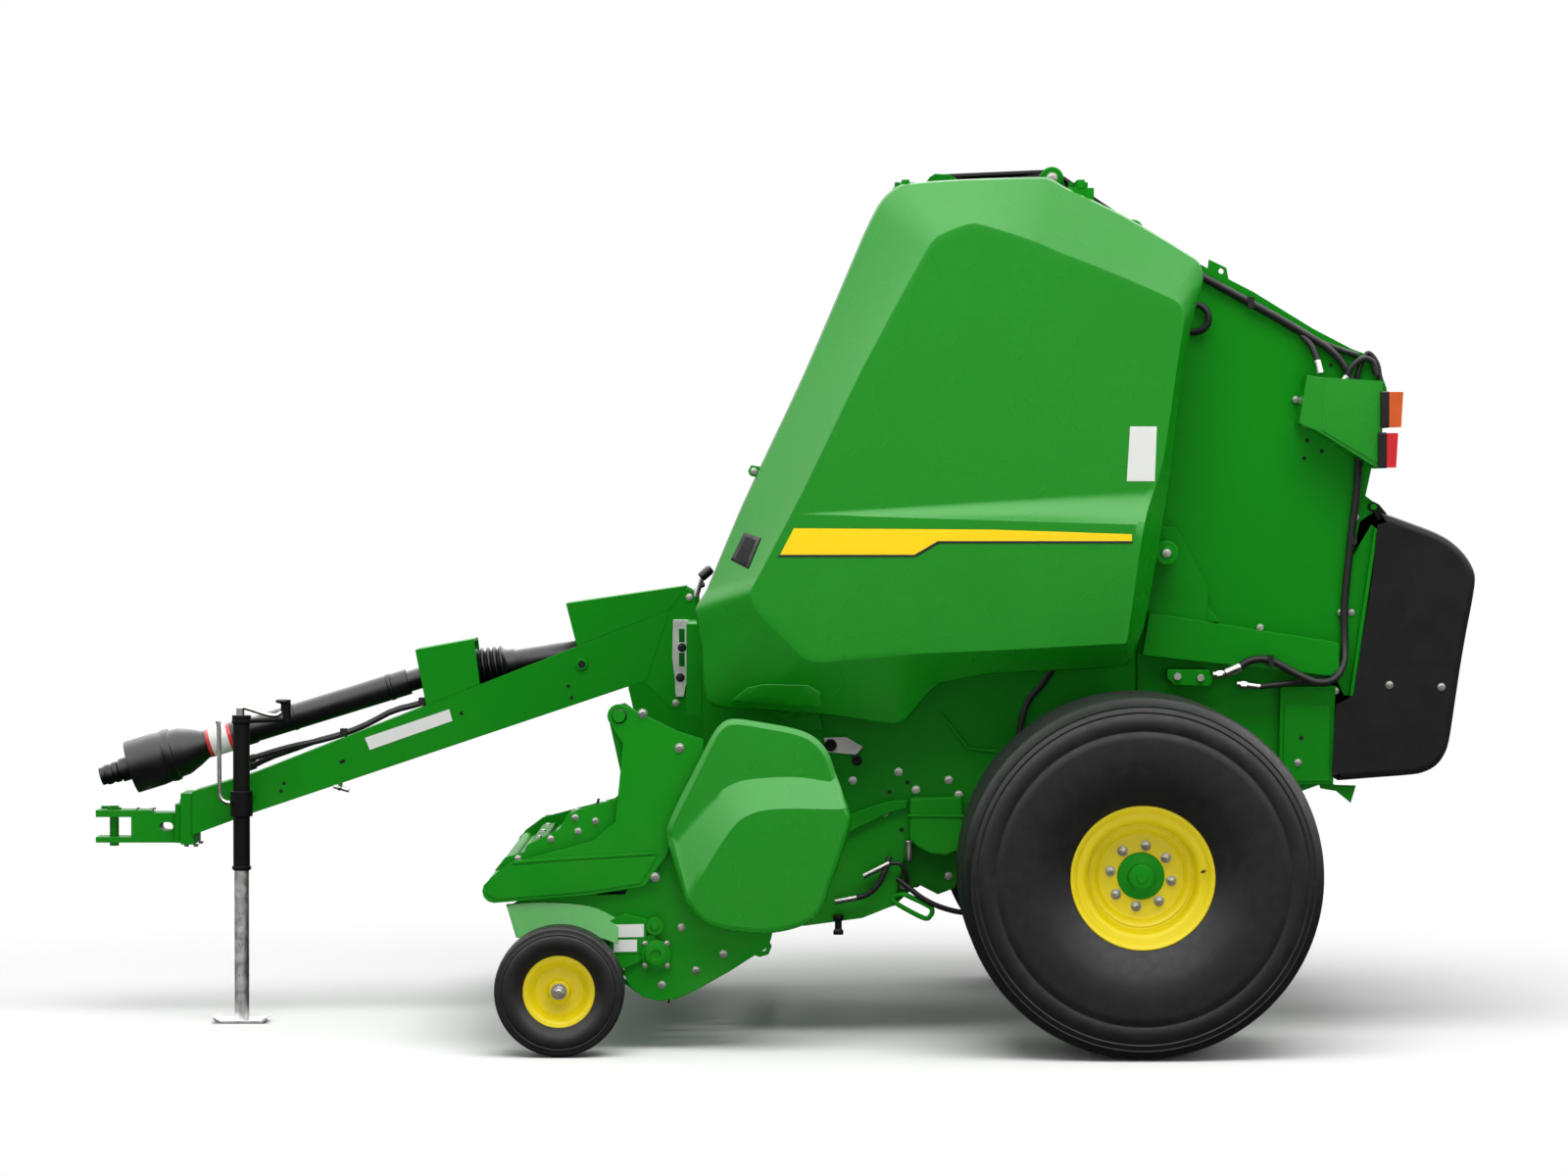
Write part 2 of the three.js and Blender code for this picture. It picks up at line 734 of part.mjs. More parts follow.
function ramRod() {
  const shaft = rod(RAM_ROD, onRam(80), onRam(RAM_LENGTH - 20), 20);
  const eye = barY(34, RAM_EYE, RAM_MIDDLE - 18, RAM_MIDDLE + 18);
  const pin = barY(RAM_PIN, RAM_EYE, RAM_MIDDLE - 23, RAM_MIDDLE + 28);
  return join(shaft, eye, pin);
}
addPair("ram_rod", ramRod(), "chrome");

// ---------------------------------------------------------------- main wheels

const WHEEL_SIDES = 32; // facets round a wheel, the same on tyre and rim so that they seat
const GAUGE_SIDES = 20;

function onAxle(x, z, y) {
  return [[x, y, z], [x, y + 1, z]];
}

// A tyre casing, open towards the rim: half its section is given from the bead out, and the other half is its twin.
function tyre(x, z, y, radius, width, bead, beadWidth, wall, sides) {
  const side = radius - bead;
  const half = [
    [bead + SEAT, beadWidth / 2 - wall],
    [bead + SEAT, beadWidth / 2],
    [bead + side * 0.35, width / 2],
    [bead + side * 0.72, width / 2 - wall * 0.5],
    [radius - side * 0.08, width / 2 - wall * 2],
    [radius, width / 2 - wall * 4],
  ];
  const liner = [
    [radius - wall * 1.6, width / 2 - wall * 4],
    [bead + side * 0.4, width / 2 - wall * 1.5],
  ];
  const flip = ([r, h]) => [r, -h];
  const outerBack = [...half].reverse().map(flip);
  const linerBack = [...liner].reverse().map(flip);
  const profile = ring([...half, ...outerBack, ...linerBack, ...liner]);
  return turned(profile.reverse(), ...onAxle(x, z, y), sides);
}

function mainRim() {
  const half = RIM_WIDTH / 2;
  const disc = half - 95;
  return turned(
    ring([
      [HUB_RADIUS - 16, disc],
      [120, disc],
      [155, disc + 24],
      [165, half - 28],
      [RIM_RADIUS - 8, half],
      [RIM_RADIUS, half],
      [RIM_RADIUS - 20, half - 24],
      [RIM_RADIUS - 20, -half + 20],
      [RIM_RADIUS - 8, -half],
      [RIM_RADIUS - 28, -half],
      [RIM_RADIUS - 34, half - 70],
      [118, disc - 12],
      [HUB_RADIUS - 16, disc - 12],
    ]).reverse(),
    ...onAxle(0, TYRE_RADIUS, TRACK_HALF),
    WHEEL_SIDES,
  );
}

function mainHub() {
  const half = RIM_WIDTH / 2;
  const disc = half - 95;
  const bore = SPINDLE_RADIUS + RUNNING;
  return turned(
    [
      [0, disc + 58],
      [34, disc + 56],
      [45, disc + 44],
      [46, disc + 22],
      [HUB_RADIUS, disc + 14],
      [HUB_RADIUS, disc + SEAT],
      [HUB_RADIUS - 16 - SEAT, disc + SEAT],
      [HUB_RADIUS - 16 - SEAT, -90],
      [bore, -90],
      [bore, -18],
      [0, -18],
    ].reverse(),
    ...onAxle(0, TYRE_RADIUS, TRACK_HALF),
    24,
  );
}

addPair(
  "main_tyre",
  tyre(0, TYRE_RADIUS, TRACK_HALF, TYRE_RADIUS, TYRE_WIDTH, RIM_RADIUS, RIM_WIDTH, 26, WHEEL_SIDES),
  "rubber",
);
addPair("main_rim", mainRim(), "yellow");
addPair("main_hub", mainHub(), "green");

// ---------------------------------------------------------------- gauge wheels

function gaugeRim() {
  const half = 55;
  return turned(
    ring([
      [GAUGE_AXLE + RUNNING, 40],
      [30, 40],
      [36, 20],
      [70, 18],
      [98, half - 4],
      [GAUGE_RIM, half],
      [GAUGE_RIM, -half],
      [GAUGE_RIM - 12, -half],
      [GAUGE_RIM - 16, 4],
      [30, 4],
      [26, -half],
      [GAUGE_AXLE + RUNNING, -half],
    ]).reverse(),
    ...onAxle(GAUGE_X, GAUGE_RADIUS, GAUGE_HALF),
    GAUGE_SIDES,
  );
}
addPair(
  "gauge_tyre",
  tyre(GAUGE_X, GAUGE_RADIUS, GAUGE_HALF, GAUGE_RADIUS, GAUGE_WIDTH, GAUGE_RIM, 110, 12, GAUGE_SIDES),
  "rubber",
);
addPair("gauge_rim", gaugeRim(), "yellow");

// ---------------------------------------------------------------- pickup

const PICKUP_PIVOT = [PICKUP_X, PICKUP_Z];
const REEL = [REEL_X, REEL_Z];
const GUARD_PIVOT = [GUARD_X, GUARD_Z];
const PLATE_OUT = PICKUP_HALF + PICKUP_PLATE;
const CROSS_BEAM = [-1240, 330];
const CROSS_BEAM_RADIUS = 38;

function pickupSide() {
  const plate = plateXZ(
    [
      [-1567, 384],
      [-1562, 230],
      [-1545, 195],
      [-1505, 163],
      [-1455, 150],
      [-1400, 158],
      [-1336, 187],
      [-1237, 243],
      [-1180, 280],
      [-1120, 318],
      [-1040, 640],
      ...arc(PICKUP_PIVOT, 52, -60, 90, 5),
      [-1330, 900],
      [-1560, GUARD_Z + 38],
      ...arc(GUARD_PIVOT, 34, 90, 200, 4),
      [-1540, 700],
      [-1500, 600],
      [-1560, 476],
      [-1860, 470],
      [-1915, 440],
      [-1880, 400],
      [-1760, 405],
    ],
    PICKUP_HALF,
    PLATE_OUT,
  );
  const hole = barY(STUB_RADIUS + RUNNING, PICKUP_PIVOT, PICKUP_HALF - 10, PLATE_OUT + 10);
  const reelCap = barY(39, REEL, PLATE_OUT - 4, PLATE_OUT + 16);
  const guardPin = barY(GUARD_PIN, GUARD_PIVOT, PLATE_OUT - 4, PLATE_OUT + 34);
  const arm = plateXZ(
    [
      [-1470, 360],
      [-1450, 300],
      ...arc([GAUGE_X, GAUGE_RADIUS], 26, -60, -240, 6),
    ],
    PLATE_OUT - 2,
    PLATE_OUT + 14,
  );
  const axle = barY(GAUGE_AXLE, [GAUGE_X, GAUGE_RADIUS], PLATE_OUT - 2, GAUGE_HALF + 60);
  return join(cut(plate, hole), reelCap, guardPin, arm, axle);
}
addPair("pickup_side", pickupSide(), "green");

function pickupBands() {
  const reach = PICKUP_HALF - SEAT;
  const beam = barY(CROSS_BEAM_RADIUS, CROSS_BEAM, -reach, reach, 16);
  const section = [
    ...arc(REEL, BAND_RADIUS, 290, 80, 9),
    [-1300, 512],
    [-1296, 512 - BAND_THICK],
    ...arc(REEL, BAND_RADIUS - BAND_THICK, 80, 290, 9),
  ];
  const tail = [
    [REEL_X + 50, REEL_Z - 134],
    [-1240, 300],
    [-1236, 306],
    [REEL_X + 46, REEL_Z - 129],
  ];
  const strips = Array.from({ length: 11 }, (_, i) => {
    const middle = (i - 5) * BAND_PITCH;
    return join(
      plateXZ(section, middle - BAND_WIDTH / 2, middle + BAND_WIDTH / 2),
      plateXZ(tail, middle - BAND_WIDTH / 2, middle + BAND_WIDTH / 2),
    );
  });
  return join(beam, ...strips);
}
add("pickup_bands", pickupBands(), "green");

function pickupReel() {
  const reach = PICKUP_HALF - SEAT;
  const shaft = barY(24, REEL, -reach, reach, 10);
  const drum = barY(REEL_DRUM, REEL, -reach + 20, reach - 20, 14);
  const bars = [0, 90, 180, 270].map((angle) => {
    const at = polar(REEL, TINE_BAR_CIRCLE, angle + 20);
    return barY(12, at, -reach + 20, reach - 20, 6);
  });
  const discs = [-960, -320, 320, 960].map((y) => barY(TINE_BAR_CIRCLE + 20, REEL, y - 5, y + 5, 14));
  return join(shaft, drum, ...bars, ...discs);
}
add("pickup_reel", pickupReel(), "darkGreen");

function feedRotor() {
  const reach = CHAMBER_HALF - SEAT;
  const drum = barY(95, PICKUP_PIVOT, -reach + 20, reach - 20, 16);
  const shaft = barY(30, PICKUP_PIVOT, -reach, reach, 10);
  const lobes = Array.from({ length: 7 }, (_, i) => {
    const y = (i - 3) * 165;
    const star = [0, 1, 2].flatMap((k) => {
      const turn = k * 120 + i * 20;
      return [
        polar(PICKUP_PIVOT, 90, turn),
        polar(PICKUP_PIVOT, ROTOR_RADIUS, turn + 52),
        polar(PICKUP_PIVOT, ROTOR_RADIUS, turn + 60),
        polar(PICKUP_PIVOT, 110, turn + 78),
      ];
    });
    return plateXZ(star, y - 6, y + 6);
  });
  return join(drum, shaft, ...lobes);
}
add("feed_rotor", feedRotor(), "darkGreen");

function windGuard() {
  const inner = PLATE_OUT + 6;
  const outer = inner + GUARD_PLATE;
  const sidePlate = [
    ...arc(GUARD_PIVOT, GUARD_BOSS, 60, 200, 6),
    [-1565, 938],
    [-1577, 812],
    [-1589, 699],
    [-1660, 640],
    [-1909, 574],
    [-1969, 529],
    ...arc([-1958, 488], 36, 120, 270, 5),
    [-1671, 476],
    [-1500, 503],
    [-1432, 598],
    [-1400, 700],
    [-1320, 900],
    [-1320, 950],
    [-1404, 977],
  ];
  const deck = [
    [-1978, 486],
    [-1962, 504],
    [-1860, 540],
    [-1800, 580],
    [-1680, 612],
    [-1600, 626],
    [-1545, 634],
    [-1545, 622],
    [-1598, 614],
    [-1678, 600],
    [-1796, 567],
    [-1856, 528],
    [-1954, 490],
    [-1968, 476],
  ];
  const lip = barY(22, [-1962, 500], -inner - 2, inner + 2, 16);
  const sides = [-1, 1].map((side) => {
    const low = Math.min(side * inner, side * outer);
    const high = Math.max(side * inner, side * outer);
    const hole = barY(GUARD_PIN + RUNNING, GUARD_PIVOT, low - 5, high + 5);
    return cut(plateXZ(sidePlate, low, high), hole);
  });
  return join(...sides, plateXZ(deck, -inner - 2, inner + 2), lip);
}
add("wind_guard", windGuard(), "green");

// ---------------------------------------------------------------- side shields

function sideShield() {
  const rim = [
    [-1348, 1338],
    [-1312, 1405],
    [-1197, 1678],
    [-1014, 2067],
    [-832, 2492],
    [-777, 2599],
    [-711, 2650],
    [-528, 2665],
    [-270, 2672],
    [-209, 2641],
    [-27, 2553],
    [195, 2419],
    [216, 2362],
    [201, 2301],
    [155, 2104],
    [116, 1769],
    [79, 1526],
    [34, 1283],
    [-12, 1177],
    [-42, 1162],
    [-437, 1141],
    [-589, 1113],
    [-635, 1077],
    [-695, 1004],
    [-741, 986],
    [-954, 1016],
    [-1197, 1034],
    [-1312, 1056],
    [-1330, 1223],
  ];
  const face = [
    [-1178, 1395],
    [-1150, 1450],
    [-1015, 1709],
    [-835, 2080],
    [-660, 2400],
    [-625, 2460],
    [-595, 2489],
    [-490, 2525],
    [-310, 2470],
    [-235, 2438],
    [-60, 2370],
    [110, 2297],
    [140, 2275],
    [152, 2225],
    [132, 2085],
    [88, 1790],
    [30, 1610],
    [-2, 1400],
    [-25, 1244],
    [-60, 1238],
    [-445, 1217],
    [-600, 1211],
    [-670, 1208],
    [-740, 1202],
    [-800, 1197],
    [-970, 1184],
    [-1015, 1199],
    [-1120, 1300],
    [-1165, 1350],
  ];
  const count = rim.length;
  const centre = [-480, 1800];
  const shell = (rimPoints, facePoints, low, high) => {
    const positions = [];
    const index = [];
    rimPoints.forEach(([x, z]) => positions.push(x, low, z));
    facePoints.forEach(([x, z]) => positions.push(x, high, z));
    positions.push(centre[0], low, centre[1], centre[0], high, centre[1]);
    for (let i = 0; i < count; i++) {
      const j = (i + 1) % count;
      index.push(i, j, count + i, j, count + j, count + i);
      index.push(j, i, 2 * count);
      index.push(count + i, count + j, 2 * count + 1);
    }
    const geometry = new THREE.BufferGeometry();
    geometry.setAttribute("position", new THREE.Float32BufferAttribute(positions, 3));
    geometry.setIndex(index);
    return geometry;
  };
  const body = join(
    shell(rim, rim, SHIELD_RIM, SHIELD_RIM + 40),
    shell(rim, face, SHIELD_RIM + 39, SHIELD_FACE),
  );
  const smallRim = inset(rim, SHIELD_WALL);
  const smallFace = inset(face, SHIELD_WALL * 0.6);
  const hollow = join(
    shell(smallRim, smallRim, SHIELD_RIM - 1, SHIELD_RIM + 38),
    shell(smallRim, smallFace, SHIELD_RIM + 37, SHIELD_FACE - SHIELD_WALL),
  );
  const hingeY = WALL_OUT + SHIELD_HINGE_OUT;
  const arms = [-700, -160].map((x) => {
    const drop = x < -400 ? 4 : 20;
    const arm = plateYZ(
      [
        [hingeY - 16, SHIELD_HINGE_Z - 14],
        [hingeY - 16, SHIELD_HINGE_Z + 14],
        [SHIELD_RIM + 20, SHIELD_HINGE_Z - drop],
        [SHIELD_RIM + 20, SHIELD_HINGE_Z - drop - 40],
      ],
      x - 12,
      x + 12,
    );
    const hole = rod(
      SHIELD_HINGE_PIN + RUNNING,
      [x - 40, hingeY, SHIELD_HINGE_Z],
      [x + 40, hingeY, SHIELD_HINGE_Z],
      16,
    );
    return cut(arm, hole);
  });
  return join(cut(body, hollow), ...arms);
}
addPair("side_shield", sideShield(), "green");

// ---------------------------------------------------------------- tongue

const frontLow = [TONGUE_FRONT[0], TONGUE_FRONT[1]];
const frontHigh = [TONGUE_FRONT[0], TONGUE_FRONT[2]];
const kneeLow = [TONGUE_KNEE[0], TONGUE_KNEE[1]];
const kneeHigh = [TONGUE_KNEE[0], TONGUE_KNEE[2]];

function tongueTop(x) {
  return heightAt(kneeHigh, TONGUE_REAR_HIGH, x);
}

function tongueBeam() {
  const side = [frontLow, frontHigh, kneeHigh, TONGUE_REAR_HIGH, TONGUE_REAR_LOW, kneeLow];
  const [lowA, highA, highB, , , lowB] = inset(side, TONGUE_PLATE);
  const past = TONGUE_REAR_HIGH[0] + 100;
  const topDrop = highB[1] - tongueTop(highB[0]);
  const lowRise = lowB[1] - heightAt(kneeLow, TONGUE_REAR_LOW, lowB[0]);
  const hollow = [
    lowA,
    highA,
    highB,
    [past, tongueTop(past) + topDrop],
    [past, heightAt(kneeLow, TONGUE_REAR_LOW, past) + lowRise],
    lowB,
  ];
  const slot = plateXZ(
    [
      [-2090, tongueTop(-2090) - 2 * TONGUE_PLATE],
      [-2090, tongueTop(-2090) + 50],
      [-1400, tongueTop(-1400) + 50],
      [-1400, tongueTop(-1400) - 2 * TONGUE_PLATE],
    ],
    -(TONGUE_HALF - TONGUE_PLATE - 13),
    TONGUE_HALF - TONGUE_PLATE - 13,
  );
  const inside = TONGUE_HALF - TONGUE_PLATE;
  const shell = cut(plateXZ(side, -TONGUE_HALF, TONGUE_HALF), plateXZ(hollow, -inside, inside), slot);
  const frontPlate = box(TONGUE_END, TONGUE_FRONT[0] + 5, -TONGUE_HALF + 10, TONGUE_HALF - 10, 561, 726);
  const jackMount = join(
    barY(34, [JACK_X, JACK_PIVOT_Z + 22], -(TONGUE_HALF + 42), -(TONGUE_HALF - 4)),
    barY(20, [JACK_X, JACK_PIVOT_Z], JACK_Y + 40, -(TONGUE_HALF - 4)),
  );
  return join(shell, frontPlate, jackMount);
}
add("tongue", tongueBeam(), "green");

// Two hoses along the tongue's left edge, clipped to its top and hidden at the rear by the driveline support.
function tongueHoses() {
  const routes = [0, 1].map((i) => {
    const y = -(TONGUE_HALF - 20) + i * (2 * TONGUE_HOSE + 4);
    const lift = (x, rise) => [x, y, tongueTop(x) + TONGUE_HOSE + SEAT + 2 + rise];
    return [
      [-2800, y, 838 - i * 26],
      [-2738, y, 858 - i * 16],
      lift(-2660, 24 - i * 10),
      lift(-2595, 12),
      lift(-2500, 1),
      lift(-2421, 2),
      lift(-2342, 12),
      lift(-2246, 1),
      lift(-2130, 1),
    ];
  });
  const clips = [-2500, -2246].map((x) => {
    const low = tongueTop(x + 10) + SEAT;
    return box(x - 10, x + 10, routes[0][0][1] - 15, routes[1][0][1] + 15, low, low + 2 * TONGUE_HOSE + 6);
  });
  const couplings = routes.map(([[x, y, z]]) => rod(TONGUE_HOSE + 3, [x + 14, y, z + 5], [x - 46, y, z - 14], 10));
  return join(...routes.map((route) => hose(TONGUE_HOSE, route, 18, 7)), ...clips, ...couplings);
}
add("tongue_hoses", tongueHoses(), "black");

function heightPlate() {
  const outer = TONGUE_HALF - TONGUE_PLATE - SEAT;
  const rear = FRAME_PLATE_FRONT - SEAT;
  const plate = plateXZ(
    [[-1500, 1120], [-1500, 1272], [-1445, 1289], [rear, 1289], [rear, 1026], [-1425, 1026]],
    outer - 12,
    outer,
  );
  const slots = [1220, 1130].map((z) =>
    plateXZ([[-1416, z], [-1416, z + 46], [-1400, z + 46], [-1400, z]], outer - 20, outer + 8),
  );
  return cut(plate, ...slots);
}
addPair("height_plate", heightPlate(), "steel");

function hitchClevis() {
  const half = CLEVIS_HALF;
  const rear = TONGUE_END - SEAT;
  const upper = box(FRONT_X, -3150, -half, half, CLEVIS_TOP - 22, CLEVIS_TOP);
  const lower = box(FRONT_X, -3150, -half, half, CLEVIS_LOW, CLEVIS_LOW + 18);
  const block = box(-3192, -3129, -half, half, CLEVIS_LOW, CLEVIS_TOP);
  const strap = box(-3135, rear, -half, half, CLEVIS_LOW, CLEVIS_TOP - 8);
  const eyeZ = (CLEVIS_LOW + CLEVIS_TOP) / 2;
  const eye = plateXZ(
    [...arc([-3086, eyeZ], 14, 90, 270, 6), ...arc([-3070, eyeZ], 14, -90, 90, 6)],
    -half - 5,
    half + 5,
  );
  const flange = box(rear - 20, rear, -half - 25, half + 25, CLEVIS_LOW + 1, CLEVIS_TOP + 21);
  const hole = rod(HITCH_PIN + RUNNING, [HITCH_PIN_X, 0, CLEVIS_LOW - 20], [HITCH_PIN_X, 0, CLEVIS_TOP + 20]);
  return cut(join(upper, lower, block, strap, flange), hole, eye);
}
add("hitch_clevis", hitchClevis(), "green");

function hitchPin() {
  const top = CLEVIS_TOP + 12;
  const shank = rod(HITCH_PIN, [HITCH_PIN_X, 0, CLEVIS_LOW - 13], [HITCH_PIN_X, 0, top]);
  const collar = rod(HITCH_PIN + 8, [HITCH_PIN_X, 0, CLEVIS_TOP + SEAT], [HITCH_PIN_X, 0, CLEVIS_TOP + 6]);
  const handle = rod(5, [HITCH_PIN_X - 42, 0, top - 5], [HITCH_PIN_X + 12, 0, top - 5], 10);
  return join(shank, collar, handle);
}
add("hitch_pin", hitchPin(), "green");

// ---------------------------------------------------------------- jack

function jackTube() {
  const tube = rod(JACK_TUBE, [JACK_X, JACK_Y, JACK_LOW], [JACK_X, JACK_Y, JACK_HIGH], 24);
  const bore = rod(
    JACK_TUBE - JACK_TUBE_WALL,
    [JACK_X, JACK_Y, JACK_LOW - 10],
    [JACK_X, JACK_Y, JACK_HIGH - 15],
    20,
  );
  const collar = join(
    rod(JACK_TUBE + 9, [JACK_X, JACK_Y, JACK_PIVOT_Z - 40], [JACK_X, JACK_Y, JACK_PIVOT_Z + 40], 24),
    barY(32, [JACK_X, JACK_PIVOT_Z], JACK_Y + 18, -(TONGUE_HALF + 42 + 3)),
  );
  const pinHole = barY(20 + RUNNING, [JACK_X, JACK_PIVOT_Z], JACK_Y + 38, 0);
  const head = rod(JACK_TUBE + 3, [JACK_X, JACK_Y, JACK_HIGH - 4], [JACK_X, JACK_Y, JACK_HIGH + 10], 24);
  const crank = rod(8, [JACK_X + 25, JACK_Y, JACK_HIGH - 8], [JACK_X + 150, JACK_Y, JACK_HIGH - 3], 10);
  const knob = rod(13, [JACK_X + 146, JACK_Y, JACK_HIGH - 12], [JACK_X + 146, JACK_Y, JACK_HIGH + 60], 12);
  return join(cut(join(tube, collar, head), bore, pinHole), crank, knob);
}

function jackLeg() {
  const radius = JACK_TUBE - JACK_TUBE_WALL - SLIDING;
  const leg = rod(radius, [JACK_X, JACK_Y, 4], [JACK_X, JACK_Y, JACK_LOW + 150], 20);
  const half = JACK_FOOT / 2;
  const foot = plateXZ(
    [
      [JACK_X - half, 14],
      [JACK_X - half + 18, 0],
      [JACK_X + half - 18, 0],
      [JACK_X + half, 14],
      [JACK_X + half - 4, 19],
      [JACK_X + half - 22, 8],
      [JACK_X - half + 22, 8],
      [JACK_X - half + 4, 19],
    ],
    JACK_Y - 60,
    JACK_Y + 60,
  );
  return join(leg, foot);
}
add("jack_tube", jackTube(), "black");
add("jack_leg", jackLeg(), "steel");

// ---------------------------------------------------------------- driveline

const DRIVE_ALONG = new THREE.Vector2(
  BELL_MOUTH[0] - DRIVE_PIVOT[0],
  BELL_MOUTH[1] - DRIVE_PIVOT[1],
);
const DRIVE_LENGTH = DRIVE_ALONG.length();
DRIVE_ALONG.normalize();

// A point on the front shaft's axis, measured forwards from the swing pivot.
function onDrive(distance) {
  return [
    DRIVE_PIVOT[0] + DRIVE_ALONG.x * distance,
    0,
    DRIVE_PIVOT[1] + DRIVE_ALONG.y * distance,
  ];
}

function driveInner() {
  const cross = barY(38, DRIVE_PIVOT, -60, 60, 20);
  const pin = barY(14, DRIVE_PIVOT, -(TONGUE_HALF - 10 - SEAT), TONGUE_HALF - 10 - SEAT, 14);
  const tube = rod(INNER_GUARD, onDrive(0), onDrive(INNER_REACH), 20);
  return join(cross, pin, tube);
}
add("driveline_inner_guard", driveInner(), "black");

function driveOuter() {
  const start = 110;
  const neck = DRIVE_LENGTH - BELL_LENGTH;
  const bore = INNER_GUARD + SLIDING;
  const bearing = DRIVE_SHAFT + SLIDING;
  const profile = ring([
    [bore, start],
    [SHAFT_GUARD, start],
    [SHAFT_GUARD, neck - 30],
    [38 + 6, neck],
    [60, neck + 30],
    [72, neck + 60],
    [72, neck + 90],
    [80, neck + 100],
    [BELL_RADIUS, neck + 150],
    [BELL_RADIUS, DRIVE_LENGTH],
    [BELL_RADIUS - 5, DRIVE_LENGTH],
    [BELL_RADIUS - 5, neck + 152],
    [66, neck + 88],
    [66, neck + 62],
    [bearing, neck + 20],
    [bearing, INNER_REACH + 20],
    [bore, INNER_REACH + 20],
  ]);
  return turned(profile, onDrive(0), onDrive(1), 20);
}
add("driveline_bell_guard", driveOuter(), "black");

function driveYoke() {
  const neck = DRIVE_LENGTH - BELL_LENGTH;
  const shaft = rod(DRIVE_SHAFT, onDrive(neck - 60), onDrive(DRIVE_LENGTH + 20), 20);
  const collar = rod(38, onDrive(DRIVE_LENGTH - 60), onDrive(DRIVE_LENGTH + 35), 20);
  const end = rod(29, onDrive(DRIVE_LENGTH + 30), onDrive(DRIVE_LENGTH + YOKE_REACH), 20);
  const bore = rod(YOKE_BORE, onDrive(DRIVE_LENGTH + 20), onDrive(DRIVE_LENGTH + YOKE_REACH + 10), 16);
  return cut(join(shaft, collar, end), bore);
}
add("driveline_yoke", driveYoke(), "black");

function drivelineSupport() {
  const side = [
    [-2266, 1191],
    [-2076, 1226],
    [-2057, tongueTop(-2057) + SEAT],
    [-2231, tongueTop(-2231) + SEAT],
  ];
  const half = TONGUE_HALF;
  const shell = plateXZ(side, -half, half);
  const hollow = plateXZ(
    [[-2300, 900], [-2300, 1175], [-2266, 1181], [-2076, 1216], [-2040, 1222], [-2040, 900]],
    -(half - 10),
    half - 10,
  );
  const bearing = plateXZ(
    [[-2108, tongueTop(-2108) + 6], [-2108, 1216], [-2092, 1219], [-2092, tongueTop(-2092) + 6]],
    -(half - 5),
    half - 5,
  );
  return join(cut(shell, hollow), bearing);
}
add("driveline_support", drivelineSupport(), "green");

function driveRear() {
  const from = [-2084, 0, 1124];
  const to = [-1647, 0, 1194];
  const length = new THREE.Vector3(...from).distanceTo(new THREE.Vector3(...to));
  const folds = [0, 1, 2, 3].flatMap((k) => [
    [64, 22 + k * 24],
    [50, 34 + k * 24],
  ]);
  const profile = [[0, 0], [50, 0], [50, 10], ...folds, [38, 140], [38, length], [0, length]];
  return turned(profile, from, to, 20);
}
add("driveline_rear_guard", driveRear(), "black");

function gearbox() {
  return box(-1640, FRAME_PLATE_FRONT - SEAT, -72, 72, 1120, 1290);
}
add("gearbox", gearbox(), "darkGreen");

function gearboxCover() {
  const low = (x) => tongueTop(x) + SEAT;
  const side = [[-1779, 1341], [-1390, 1398], [TONGUE_REAR_HIGH[0], low(-1442)], [-1744, low(-1744)]];
  const shell = plateXZ(side, -TONGUE_HALF, TONGUE_HALF);
  const hollow = plateXZ(
    [[-1800, 900], [-1800, 1326], [-1779, 1329], [-1390, 1386], [-1300, 1399], [-1300, 900]],
    -(TONGUE_HALF - 10),
    TONGUE_HALF - 10,
  );
  return cut(shell, hollow);
}
add("gearbox_cover", gearboxCover(), "green");

// ---------------------------------------------------------------- placing

const REAR_X = 1082;
baler.position.x = -(FRONT_X + REAR_X) / 2;

export default baler;
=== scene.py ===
import json
import math

import bmesh
import bpy
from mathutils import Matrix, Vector
from mathutils.bvhtree import BVHTree


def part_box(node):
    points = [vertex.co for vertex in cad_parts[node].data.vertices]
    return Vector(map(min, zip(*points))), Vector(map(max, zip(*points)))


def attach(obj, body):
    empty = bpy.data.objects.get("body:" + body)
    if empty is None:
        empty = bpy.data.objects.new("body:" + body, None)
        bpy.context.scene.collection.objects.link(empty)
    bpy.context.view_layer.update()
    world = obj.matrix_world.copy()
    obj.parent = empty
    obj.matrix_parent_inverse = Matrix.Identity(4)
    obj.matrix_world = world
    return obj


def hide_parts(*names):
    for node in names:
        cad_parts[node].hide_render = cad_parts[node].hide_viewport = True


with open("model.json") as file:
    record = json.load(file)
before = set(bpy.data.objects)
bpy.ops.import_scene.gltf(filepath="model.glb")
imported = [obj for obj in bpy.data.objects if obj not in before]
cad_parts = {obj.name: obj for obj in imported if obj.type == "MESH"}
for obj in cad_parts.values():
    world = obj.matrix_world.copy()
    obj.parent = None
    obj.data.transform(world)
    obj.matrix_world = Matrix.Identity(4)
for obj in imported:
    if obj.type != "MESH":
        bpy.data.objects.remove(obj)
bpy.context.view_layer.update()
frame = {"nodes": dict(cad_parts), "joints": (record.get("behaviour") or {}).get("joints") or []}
NODES = frame["nodes"]
JOINTS = {joint["name"]: joint for joint in frame["joints"]}
AXLE = Vector(JOINTS["left_wheel_spin"]["pos_m"])
TRACK = abs(AXLE.y) * 1000
AXLE_Z = AXLE.z * 1000
SIDES = {"left": -1, "right": 1}
ACROSS = Vector((0, 1, 0))
UP = Vector((0, 0, 1))


def metres(point):
    """A point in millimetres from the axle, in the row frame."""
    x, y, z = point
    return Vector((AXLE.x + x / 1000, y / 1000, z / 1000))


def pivot(joint):
    """A joint's place in millimetres from the axle."""
    x, y, z = JOINTS[joint]["pos_m"]
    return Vector(((x - AXLE.x) * 1000, y * 1000, z * 1000))


